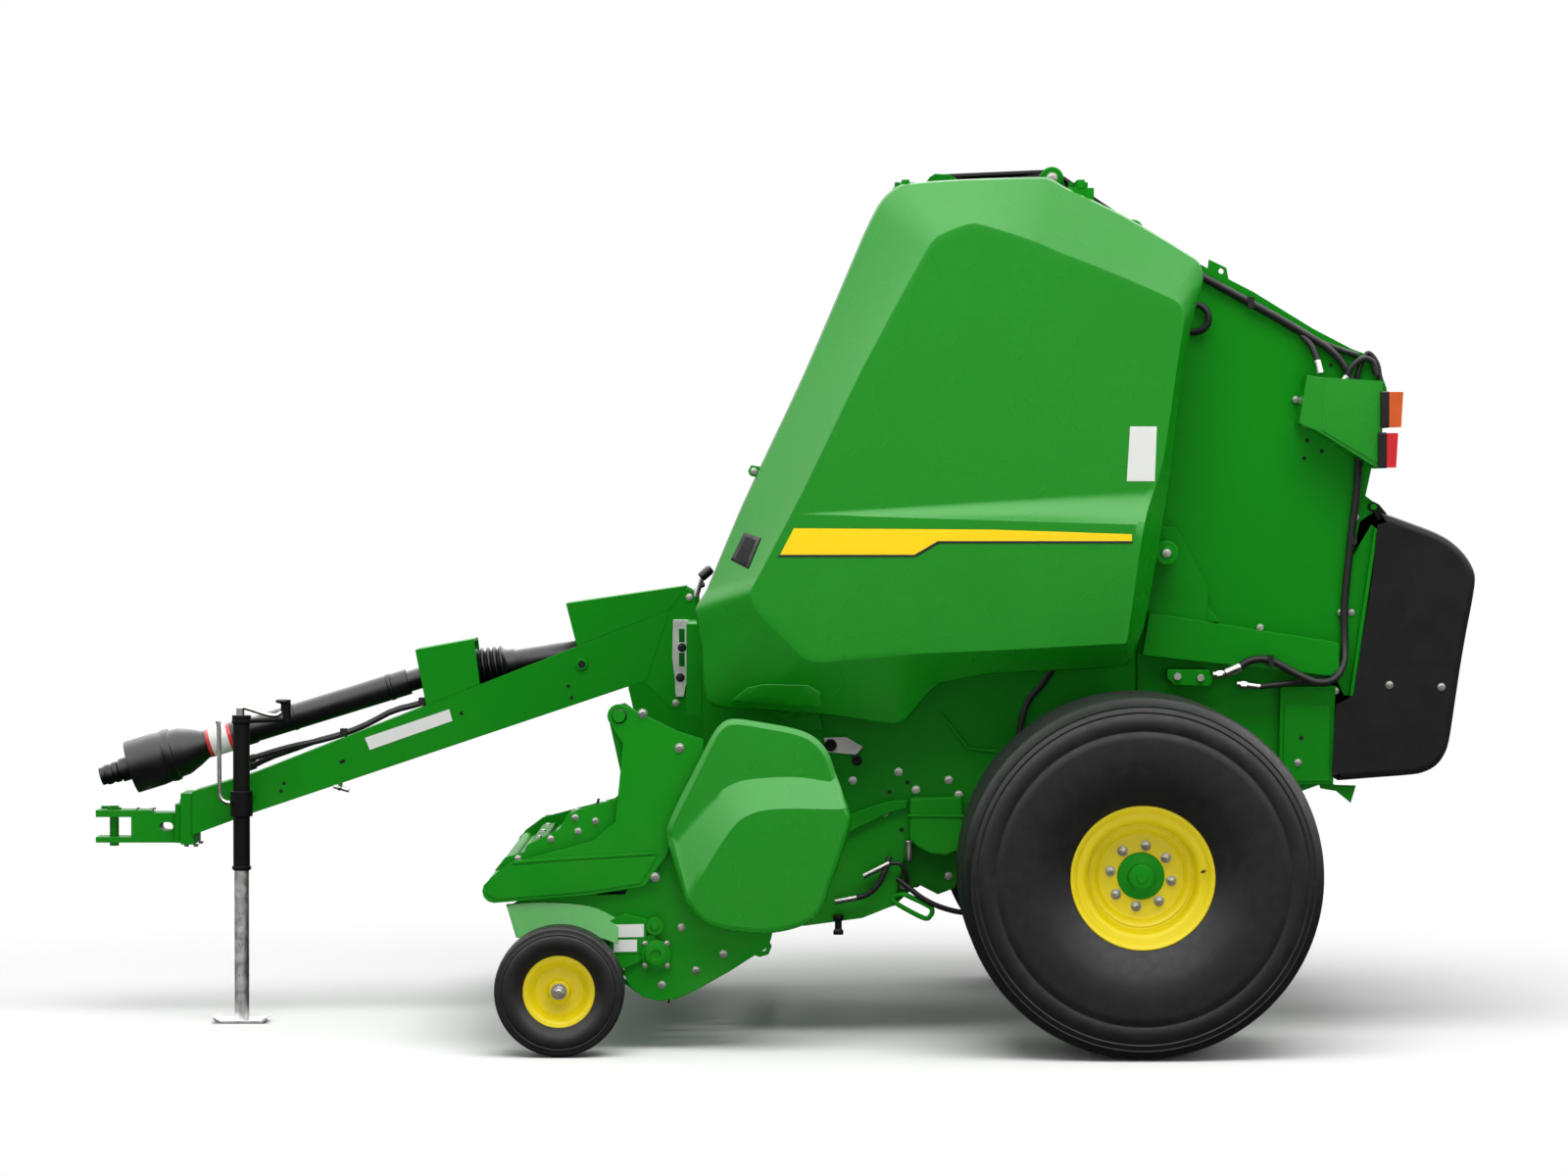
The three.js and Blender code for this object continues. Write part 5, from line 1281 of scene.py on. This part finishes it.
TONGUE_SIDE = outer("tongue")
TONGUE_PLATE = [(-2429, 907), (-2413, 868), (-2146, 962), (-2156, 1000)]
piece("tongue_plate", prism(TONGUE_PLATE, -106.4, -105), PLATE, "frame")
TONGUE_HOLES = [
    (-2506, 829), (-2498, 832), (-2117, 986), (-1772, 1074), (-1761, 1037), (-2690, 760),
    (-2700, 735),
]  # fmt: skip
discs("tongue_holes", TONGUE_HOLES, TONGUE_SIDE, 6)
BOSS = [(0, 0), (20, 0), (20, 7), (17, 9), (0, 9)]
pair("tongue_boss", turned(BOSS, (-1728, TONGUE_SIDE, 1145), ACROSS, 24), FRAME_GREEN, "frame")
discs("tongue_boss_hole", [(-1728, 1145)], TONGUE_SIDE + 9, 12)
PEG = [
    (7, (-2508, -96, 758), (-2508, -150, 745), 14),
    (7, (-2528, -128, 752), (-2478, -128, 738), 14),
]
piece("tongue_peg", rods(PEG, 0, 1.5), ZINC, "frame")
REAR_GUSSET = [
    (-1440, 1390), (-1398, 1396), (-1374, 1384), (-1356, 1330), (-1334, 1292),
    (-1334, 1000), (-1440, 1000), (-1500, 1060), (-1550, 1104), (-1530, 1250),
]  # fmt: skip
GUSSET_OUT = TONGUE_SIDE - 0.5
plates("tongue_rear_gusset", REAR_GUSSET, GUSSET_OUT - 20, GUSSET_OUT, 2)
GUSSET_BOLTS = [(-1380, 1362), (-1356, 1122), (-1350, 1022), (-1424, 1020)]
bolts("tongue_rear_bolts", GUSSET_BOLTS, GUSSET_OUT, 16)
PORT = [(0, 0), (17, 0), (17, 10), (13, 13), (9, 13), (8, 6), (0, 6)]
port = turned(PORT, (-1352, GUSSET_OUT, 1064), ACROSS, 28)
pair("tongue_rear_port", port, BLACK_PAINT, "frame", angle=35)
SENSOR_Y = 80
stalk = line([(-1350, 0, 1296), (-1362, 0, 1330), (-1364, 0, 1364)], SENSOR_Y, 13, 14)
pair("sensor_stalk", stalk, FRAME_GREEN, "frame", angle=40)
sensor_rod = rods([(11, (-1364, 0, 1360), (-1342, 0, 1430), 20)], SENSOR_Y)
pair("sensor_rod", sensor_rod, STEEL, "frame", angle=35)
sensor_knob = rods([(16, (-1345, 0, 1424), (-1312, 0, 1452), 20)], SENSOR_Y, 5)
sensor_knob = sensor_knob + rods([(7, (-1360, 0, 1392), (-1334, 0, 1400), 12)], SENSOR_Y, 1)
pair("sensor_knob", sensor_knob, BLACK, "frame", angle=35)
SLOTTED = [
    (-1433, 1289), (-1381, 1289), (-1375, 1120), (-1392, 1075), (-1398, 1040), (-1425, 1040),
    (-1428, 1100), (-1436, 1170),
]  # fmt: skip
SLOTTED_OUT = TONGUE_SIDE + 8
plates("slotted_plate", SLOTTED, TONGUE_SIDE + 0.5, SLOTTED_OUT, 1.2, material=STEEL)
# The plate's slots are darker green blocks: painted shade of the tongue seen through them.
plate_slots = total(
    block(-1414, -1396, SLOTTED_OUT, SLOTTED_OUT + 0.6, z - 22, z + 22) for z in (1238, 1160)
)
pair("slotted_plate_slots", plate_slots, SHADED_GREEN, "frame")
SLOTTED_BOLTS = [(-1404, 1199), (-1410, 1102)]
slotted_bolts = total(bolt((x, SLOTTED_OUT, z), ACROSS, 20) for x, z in SLOTTED_BOLTS)
pair("slotted_plate_bolts", slotted_bolts, SHAFT, "frame", angle=30)
nut_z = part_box("hitch_pin")[1].z * 1000 - 14
top_nuts = total(bolt((x, y, nut_z), UP, 15) for x in (-3180, -3128) for y in (-24, 24))
piece("clevis_bolts", top_nuts, ZINC, "frame", angle=30)
bolts("strap_bolts", [(-3022, z) for z in (700, 664, 628, 592)], 50, 17)
low_bolts = total(bolt((x, y, 561), -UP, 16) for x in (-3010, -2980) for y in (-70, 70))
piece("strap_low_bolts", low_bolts, ZINC, "frame", angle=30)

JACK_X, CRANK_Y = -2817, -205
L_PIN = [
    (-2894, 0, 968), (-2888, 0, 960), (-2886, 0, 900), (-2885, 0, 760), (-2881, 0, 722),
    (-2868, 0, 708), (-2852, 0, 704),
]  # fmt: skip
piece("jack_l_pin", line(L_PIN, -228, 7, 12), ZINC, "jack")
CRANK = [(-2818, 0, 1012), (-2790, 0, 1004), (-2740, 0, 988), (-2706, 0, 984), (-2686, 0, 994)]
CRANK_CAP = [(0, 0), (13, 0), (13, 34), (11, 36), (0, 36)]
KNOB = [(0, 0), (8, 0), (7, 26), (9, 30), (22, 33), (24, 37), (23, 43), (0, 46)]
crank = line(CRANK, CRANK_Y, 6.5, 12) + turned(CRANK_CAP, (-2820, CRANK_Y, 975), UP, 24)
piece("jack_crank_arm", crank, ZINC, "jack", angle=35)
piece("jack_knob", turned(KNOB, (-2683, CRANK_Y, 992), UP, 28), BLACK, "jack", angle=35)
collars = total(
    turned([(28, 0), (31, 2), (31, high - 2), (28, high)], (JACK_X, CRANK_Y, z), UP, 32, True)
    for z, high in ((958, 14), (489, 12))
)
piece("jack_collars", collars, BLACK_PAINT, "jack", angle=35)
# Near-black discs for the jack leg's pin holes: painted shade.
leg_holes = total(bar(7, (JACK_X, -227, z), (JACK_X, -227.6, z), 14) for z in (150, 250, 350))
piece("jack_leg_holes", leg_holes, HOLE_SHADE, "jack_leg")

# ---------------------------------------------------------------- pickup ends, tines and wind guard

PLATE_Y = 1020
GUARD_Y = outer("wind_guard")
GUARD = "wind_guard"
BOSS_CAP = [(0, 0), (23, 0), (23, 3), (19, 5), (17, 2.5), (0, 2.5)]
boss_cap = turned(BOSS_CAP, (-1576, GUARD_Y, 1022), ACROSS, 32)
pair("guard_boss_cap", boss_cap, SHAFT, "pickup", angle=30)
bolts("guard_bolts", [(-1505, 1030), (-1393, 925), (-1467, 531)], GUARD_Y, 20, GUARD)
RIDGE = [
    (-1900, 580), (-1770, 592), (-1620, 600), (-1470, 608), (-1462, 601), (-1620, 590),
    (-1770, 581), (-1905, 570),
]  # fmt: skip
CHANNEL = [
    (-1976, 520), (-1905, 566), (-1770, 578), (-1620, 587), (-1460, 596), (-1510, 512),
    (-1671, 486), (-1950, 462), (-1980, 480),
]  # fmt: skip
plates("guard_ridge", RIDGE, GUARD_Y - 1, GUARD_Y + 5, 2, GUARD)
plates("guard_channel", CHANNEL, GUARD_Y - 1, GUARD_Y + 3, 1.5, GUARD)
STEP_PLATE = [
    (-1958, 548), (-1925, 590), (-1868, 606), (-1858, 628), (-1760, 676), (-1735, 720),
    (-1700, 736), (-1600, 764), (-1572, 772), (-1575, 660), (-1660, 618), (-1880, 556),
]  # fmt: skip
step_plate = prism(STEP_PLATE, -(GUARD_Y - 26), -(GUARD_Y - 32))
piece("guard_step_plate", step_plate, FRAME_GREEN, GUARD, bevel=1.5)
CROSS_PLACES = [(-1885, 536), (-1786, 586), (-1690, 612), (-1600, 628)]
CROSS_Y = GUARD_Y - 34
cross_bars = total(
    prism([(x - 26, z), (x - 22, z + 16), (x + 22, z + 22), (x + 26, z + 4)], -CROSS_Y, CROSS_Y)
    for x, z in CROSS_PLACES
)
# The cross bars under the wind guard take the darker green: painted shade.
piece("guard_cross_bars", cross_bars, SHADED_GREEN, GUARD, bevel=3)
bar_bolts = total(
    bolt((x, y, z + 18), UP, 16) for x, z in CROSS_PLACES[:3] for y in range(-900, 901, 300)
)
piece("guard_bar_bolts", bar_bolts, ZINC, GUARD, angle=30)
STEP_BOLTS = [(-1886, 586), (-1786, 646), (-1703, 669), (-1712, 711), (-1650, 700)]
step_bolts = total(bolt((x, 26 - GUARD_Y, z), -ACROSS, 15) for x, z in STEP_BOLTS)
piece("guard_step_bolts", step_bolts, ZINC, GUARD, angle=30)
wire = line([(-1650, 0, 712), (-1646, 0, 745), (-1640, 0, 768)], GUARD_Y - 40, 4, 8)
piece("guard_wire", wire.mirrored(), SHAFT, GUARD)

BEARING = [
    (0, 0), (45, 0), (45, 5), (36, 8), (34, 14), (30, 16), (16, 16), (14, 12), (0, 12),
]  # fmt: skip
REEL_X, REEL_Z = -1465, 294
bearing = turned(BEARING, (REEL_X, PLATE_Y + 16, REEL_Z), ACROSS, 40)
pair("reel_bearing", bearing, FRAME_GREEN, "pickup", angle=30)
corners = [(REEL_X + dx, REEL_Z + dz) for dz in (33, -33) for dx in (-33, 33)]
bolts("reel_bearing_bolts", corners, PLATE_Y + 17, 13, "pickup")
ROUND_PLATE = [(0, 0), (28, 0), (28, 5), (26, 7), (14, 7), (12, 11), (0, 11)]
round_plate = turned(ROUND_PLATE, (-1469, PLATE_Y + 14, 381), ACROSS, 32)
pair("round_plate", round_plate, FRAME_GREEN, "pickup", angle=30)
PICKUP_BOLTS = [
    (-1388, 375), (-1344, 244), (-1260, 294), (-1448, 200), (-1335, 420), (-1250, 380),
]  # fmt: skip
bolts("pickup_bolts", PICKUP_BOLTS, PLATE_Y, 17, "pickup")
BLANK_PLATES = (
    [(-1600, 346), (-1502, 348), (-1502, 387), (-1600, 385)],
    [(-1594, 302), (-1523, 303), (-1523, 340), (-1594, 338)],
)
blanks = total(prism(outline, PLATE_Y + 16, PLATE_Y + 17.2) for outline in BLANK_PLATES)
pair("pickup_blank_plates", blanks, PLATE, "pickup")
BACKING = [(-1608, 294), (-1496, 296), (-1490, 400), (-1560, 420), (-1608, 396)]
plates("plate_backing", BACKING, PLATE_Y + 1, PLATE_Y + 16, 2, "pickup")


def flare():
    """The curved guard over a gauge wheel, standing out from the end plate."""
    top = [(-1922, 446), (-1860, 452), (-1780, 452), (-1700, 446), (-1640, 432), (-1578, 400)]
    low = [(-1890, 348), (-1850, 343), (-1790, 350), (-1710, 354), (-1640, 348), (-1582, 328)]
    work, faces = [], []
    rows = [(top, PLATE_Y - 6), (top, PLATE_Y + 8), (low, PLATE_Y + 40), (low, PLATE_Y + 36)]
    for line, y in rows:
        work += [(p.x, y, p.z) for p in smooth_path([(x, 0, z) for x, z in line], 4)]
    count = len(work) // len(rows)
    for r in range(len(rows) - 1):
        for k in range(count - 1):
            a = r * count + k
            faces.append((a, a + 1, a + 1 + count, a + count))
    return Shape(work, faces)


pair("wheel_flare", flare(), GREEN, "pickup", solid=3, angle=40)
FLARE_BACKING = [
    (-1918, 446), (-1575, 440), (-1560, 330), (-1600, 318), (-1700, 320), (-1800, 322),
    (-1862, 332), (-1890, 350),
]  # fmt: skip
REAR_LUG = [
    (-1262, 330), (-1215, 352), (-1165, 350), (-1128, 342), (-1112, 318), (-1122, 292),
    (-1150, 284), (-1190, 300), (-1262, 280),
]  # fmt: skip
# The flare's backing plate takes the darker green: painted shade.
plates("flare_backing", FLARE_BACKING, PLATE_Y - 18, PLATE_Y - 6, 2, "pickup", SHADED_GREEN)
plates("rear_lug", REAR_LUG, PLATE_Y - 16, PLATE_Y - 4, 2, "pickup")
discs("rear_lug_holes", [(-1175, 320), (-1138, 311)], PLATE_Y - 4, 9, "pickup", PLATE)

BAR_RADIUS = 92
BAR_START = 20  # degrees
TINE_SPACE = 180  # from one pair of tines to the next
TINES_A_BAR = 10
COIL_HALF = 26
TINE_OFFSET = 34  # from the middle of a pair to each tine
TINE_BEND, TINE_REACH = (40, 6), (78, 26)  # how far out, and how far back


def tines():
    """Spring tines in pairs on the four bars, between the strips."""
    shapes = []
    for quarter in range(4):
        turn = math.radians(BAR_START + 90 * quarter)
        radial = Vector((math.cos(turn), 0, math.sin(turn)))
        lean = Vector((-math.sin(turn), 0, math.cos(turn)))
        root = Vector((REEL_X, 0, REEL_Z)) + radial * BAR_RADIUS
        for space in range(TINES_A_BAR):
            middle = (space - (TINES_A_BAR - 1) / 2) * TINE_SPACE
            ends = [root + ACROSS * (middle + end) for end in (-COIL_HALF, COIL_HALF)]
            shapes.append(bar(16, *ends, 10, 2))
            for y in (middle - TINE_OFFSET, middle + TINE_OFFSET):
                foot = root + ACROSS * y
                path = [foot + radial * out - lean * back for out, back in (TINE_BEND, TINE_REACH)]
                shapes.append(tube([foot, *path], 3.5, 6, 2))
    return total(shapes)


piece("spring_tines", tines(), SHAFT, "pickup_reel", angle=60)

# ---------------------------------------------------------------- lower frame on both sides

WALL_Y = 620
ON_WALL = WALL_Y + 0.5
FRAME_BOLTS = [
    (-717, 827), (-662, 771), (-560, 802), (-529, 756), (-760, 700), (-860, 800),
]  # fmt: skip
bolts("frame_bolts", FRAME_BOLTS, WALL_Y, 18)
discs("frame_holes", [(-745, 764), (-688, 794), (-707, 645)], WALL_Y, 7)
BRACKET = [
    (-684, 748), (-520, 753), (-512, 620), (-530, 585), (-570, 568), (-620, 574), (-660, 596),
    (-684, 620),
]  # fmt: skip
plates("frame_bracket", BRACKET, ON_WALL, WALL_Y + 46, 8, segments=3)
BRACKET_LIP = [(-690, 690), (-514, 688), (-514, 696), (-690, 698)]
plates("frame_bracket_lip", BRACKET_LIP, WALL_Y + 1, WALL_Y + 52, 2)
LOWER_PLATE = [
    (-690, 640), (-512, 640), (-508, 540), (-542, 461), (-593, 442), (-656, 474), (-732, 404),
    (-760, 420), (-760, 560),
]  # fmt: skip
UNDER_PLATE = [(-980, 430), (-905, 372), (-840, 382), (-742, 430), (-742, 560), (-980, 560)]
INSIDE = (WALL_Y - 26, WALL_Y - 12)
# The plates inside the wall take the darker green: painted shade.
plates("frame_lower_plate", LOWER_PLATE, *INSIDE, 2, material=SHADED_GREEN)
bolts("lower_plate_bolt", [(-548, 588), (-560, 500), (-700, 470)], WALL_Y - 12, 17)
STRUT = [
    (-940, 660), (-846, 706), (-745, 740), (-690, 742), (-690, 714), (-740, 702), (-930, 612),
]  # fmt: skip
plates("frame_strut", STRUT, ON_WALL, WALL_Y + 26, 5)
BEARING_PLATE = [(-952, 934), (-940, 888), (-850, 880), (-828, 905), (-880, 936)]
plates("bearing_plate", BEARING_PLATE, ON_WALL, WALL_Y + 10, 1.5, material=ZINC)


def ring_bearing(x, z, r):
    profile = [(0, 0), (r, 0), (r, 16), (r - 3, 19), (r * 0.5, 19), (r * 0.42, 12), (0, 12)]
    return turned(profile, (x, WALL_Y + 8, z), ACROSS, 28)


bearings = ring_bearing(-929, 912, 19) + ring_bearing(-847, 864, 16)
pair("frame_bearings", bearings, BLACK_PAINT, "frame", angle=35)
silver = rods(
    [
        (9, (-828, 30, 502), (-745, 30, 544), 16),
        (9, (-917, 34, 423), (-847, 34, 436), 16),
    ],
    WALL_Y,
    1.5,
)
silver = silver + rods([(13, (-685, 28, 614), (-685, 28, 550), 18)], WALL_Y)
pair("silver_rods", silver, ZINC, "frame", angle=35)
FRAME_HOSES = [
    (9, [(-850, 34, 435), (-815, 36, 446), (-780, 34, 478), (-760, 28, 520), (-745, 10, 560)]),
    (9, [(-720, 10, 492), (-690, 24, 470), (-640, 30, 432), (-580, 30, 404), (-510, 20, 388),
         (-430, 0, 392)]),
    (7, [(-744, 30, 543), (-712, 28, 540), (-695, 24, 510), (-688, 10, 480)]),
]  # fmt: skip
pair("frame_hoses", total(line(path, WALL_Y, r) for r, path in FRAME_HOSES), HOSE, "frame")
LOOP = [
    (-732, 20, 440), (-728, 24, 420), (-640, 24, 372), (-618, 24, 378), (-612, 24, 396),
    (-628, 24, 412), (-700, 24, 446),
]  # fmt: skip
loop_handle = line(LOOP, WALL_Y, 8, 12, 5, closed=True)
pair("loop_handle", loop_handle, FRAME_GREEN, "frame", angle=60)
SPOUT = [(0, 0), (16, 0), (16, 12), (11, 18), (11, 44), (17, 48), (17, 60), (0, 60)]
pair("spout", turned(SPOUT, (-905, WALL_Y + 6, 318), UP, 24), BLACK, "frame", angle=35)
# The under plate, inside the wall, takes the darker green: painted shade.
plates("frame_under_plate", UNDER_PLATE, *INSIDE, 2, material=SHADED_GREEN)
CABLE = [(-341, 12, 930), (-334, 16, 985), (-312, 16, 1050), (-270, 16, 1100), (-234, 10, 1150)]
pair("wall_cable", line(CABLE, WALL_Y, 10), HOSE, "frame")
RIB = [(-585, 2, 1010), (-500, 2, 900), (-300, 2, 880)]
pair("wall_panel_rib", line(RIB, WALL_Y, 7, 8, 1), FRAME_GREEN, "frame")

# ---------------------------------------------------------------- gate

GATE_Y = 620
ON_GATE = GATE_Y + 0.5
GATE_BOLTS = [
    (523, 1991), (722, 1777), (665, 1326), (698, 1326), (711, 1624), (413, 1279), (648, 1081),
    (662, 1164),
]  # fmt: skip
bolts("gate_bolts", GATE_BOLTS, GATE_Y + 8, 15, "gate")
pads = rods([(14, (x, -4, z), (x, 8, z), 18) for x, z in GATE_BOLTS], GATE_Y, 1)
pair("gate_bolt_pads", pads, FRAME_GREEN, "gate", angle=35)
discs("gate_holes", [(632, 2098), (559, 1863), (605, 1830), (550, 1808)], GATE_Y, 6.5, "gate")
GUSSET = [(81, 1488), (195, 1418), (286, 1295), (238, 1295), (150, 1330), (60, 1420)]
plates("gate_gusset", GUSSET, ON_GATE, GATE_Y + 34, 3, "gate")
GUSSET_FOOT = [(109, 1571), (128, 1584), (150, 1526), (136, 1518)]
plates("gusset_foot", GUSSET_FOOT, ON_GATE, GATE_Y + 30, 2, "gate", BLACK)
HOSE_LOOP = [
    (196, 6, 2286), (222, 22, 2284), (244, 26, 2262), (246, 26, 2228), (226, 22, 2206),
    (196, 6, 2200),
]  # fmt: skip
pair("gate_hose_loop", line(HOSE_LOOP, GATE_Y, 11, 12), HOSE, "gate")
TOP_LINE = [(170, 2404), (300, 2330), (430, 2260), (540, 2196), (650, 2150), (716, 2128)]
top_line = line([(x, 12, z) for x, z in TOP_LINE], GATE_Y, 9, 10, 4)
pair("gate_top_line", top_line, HOSE, "gate")
REAR_LOOPS = [
    (10, [(540, 20, 2190), (566, 34, 2160), (582, 44, 2120), (592, 52, 2076)]),
    (10, [(676, 30, 2052), (694, 30, 2092), (730, 26, 2118), (760, 22, 2108), (772, 22, 2066)]),
    (8, [(712, 14, 2050), (724, 14, 2100), (748, 10, 2136), (776, 10, 2104), (786, 12, 2050)]),
]
rear_loops = total(line(path, GATE_Y, r, 12) for r, path in REAR_LOOPS)
pair("gate_rear_loops", rear_loops, HOSE, "gate")
FERRULES = [
    (13, (584, 46, 2112), (594, 53, 2070), 16),
    (12, (668, 30, 2046), (680, 30, 2064), 16),
    (11, (258, 84, 1133), (318, 84, 1143), 16),
    (11, (332, 76, 1106), (408, 76, 1096), 16),
]
FERRULE_NUTS = [
    (15, (270, 84, 1135), (288, 84, 1138), 6),
    (15, (346, 76, 1104), (364, 76, 1102), 6),
]
ferrules = rods(FERRULES, GATE_Y) + rods(FERRULE_NUTS, GATE_Y, 0)
pair("hose_ferrules", ferrules, ZINC, "gate", angle=35)
SECOND_HOSE = [(406, 1097), (470, 1104), (540, 1112), (600, 1118), (650, 1128), (668, 1170)]
second_hose = line([(x, 76 - k * 6, z) for k, (x, z) in enumerate(SECOND_HOSE)], GATE_Y, 9)
pair("gate_second_hose", second_hose, HOSE, "gate")
HOSE_LOW, HOSE_HIGH = reach("gate_hose")
HOSE_R = 12
HOSE_NEAR, HOSE_FAR = HOSE_HIGH.y - HOSE_R - 9, HOSE_LOW.y + 14
HOSE_ROUTE = [
    (214, 0, 2382), (380, 0, 2292), (545, 0, 2198), (655, 0, 2118), (712, 0, 1990),
    (716, 0, 1760), (694, 0, 1555), (674, 0, 1345), (674, 8, 1226), (664, 36, 1160),
    (630, 60, 1118), (580, 66, 1112), (520, 66, 1136), (440, 66, 1178), (380, 66, 1180),
    (331, 66, 1153),
]  # fmt: skip
HOSE_SHIFT = HOSE_NEAR - HOSE_FAR  # what 66 in the route stands for
hose_path = [(x, HOSE_NEAR - out / 66 * HOSE_SHIFT, z) for x, out, z in HOSE_ROUTE]
gate_hose = tube(hose_path, HOSE_R, 14)
NEAR_CLIP, FAR_CLIP = (HOSE_NEAR - 14, HOSE_HIGH.y), (HOSE_FAR - 14, HOSE_FAR + 16)
clips = block(370, 390, *NEAR_CLIP, 2276, 2310) + block(690, 712, *NEAR_CLIP, 1540, 1562)
clips = clips + block(430, 446, *FAR_CLIP, 1160, 1196)
piece("gate_main_hose", gate_hose + clips, HOSE, "gate", angle=40, stands_for="gate_hose")
main_ferrule = bar(15, (345, HOSE_FAR, 1160), (296, HOSE_FAR, 1139), 18, 2)
piece("main_hose_ferrule", main_ferrule, ZINC, "gate", angle=35)
ROD_HIGH = reach("right_ram_rod")[1]
EYE = Vector((ROD_HIGH.x - 36, ROD_HIGH.y, ROD_HIGH.z - 36))
EYE_CAP = [(0, 0), (38, 0), (38, 5), (34, 8), (20, 8), (18, 11), (0, 11)]
pair("ram_eye_cap", turned(EYE_CAP, EYE, ACROSS, 32), FRAME_GREEN, "{}_ram_rod", angle=30)
pair("ram_eye_bolt", bolt(EYE + ACROSS * 11, ACROSS, 18), ZINC, "{}_ram_rod", angle=30)
VALVE_BLOCK = [(118, 1150), (250, 1150), (262, 1112), (250, 1096), (140, 1100), (118, 1122)]
plates("valve_block", VALVE_BLOCK, ON_GATE, GATE_Y + 64, 4, "gate")
PLUGS = [(12, (150, 64, 1128), (150, 76, 1128), 6), (12, (222, 64, 1124), (222, 76, 1124), 6)]
pair("valve_plugs", rods(PLUGS, GATE_Y, 0), ZINC, "gate", angle=30)
LOWER_Y = GATE_Y + 30
LOWER_SKIN = [(486, 1040), (630, 1036), (628, 800), (482, 798)]
LOWER_LIP = [(474, 1086), (646, 1090), (646, 1098), (474, 1094)]
plates("gate_lower_skin", LOWER_SKIN, LOWER_Y - 1, LOWER_Y + 4, 2, "gate")
plates("gate_lower_lip", LOWER_LIP, LOWER_Y - 1, LOWER_Y + 12, 2, "gate")
bolts("gate_lower_bolt", [(529, 858)], LOWER_Y + 4, 16, "gate")
discs("gate_lower_hole", [(539, 935)], LOWER_Y + 4, 7, "gate")

BRACKET_OUT = outer("right_lamp_bracket")

def bracket_skin():
    """The lamp bracket's sheet, folded once."""
    edges = [
        (530, 1905, -34), (550, 2060, -34), (598, 1890, 2), (610, 2056, 2), (775, 1784, 2),
        (779, 2046, 2),
    ]  # fmt: skip
    return Shape([(x, BRACKET_OUT + out, z) for x, z, out in edges], [(0, 2, 3, 1), (2, 4, 5, 3)])


pair("lamp_bracket_skin", bracket_skin(), GREEN, "gate", solid=3, angle=5)


def lamp_base(node):
    low, high = reach(node)
    return block(low.x - 1, low.x + 26, low.y - 2, high.y + 2, low.z - 2, high.z + 2)


bases = lamp_base("right_turn_lamp") + lamp_base("right_tail_lamp")
pair("lamp_bases", bases, BLACK, "gate", bevel=4)
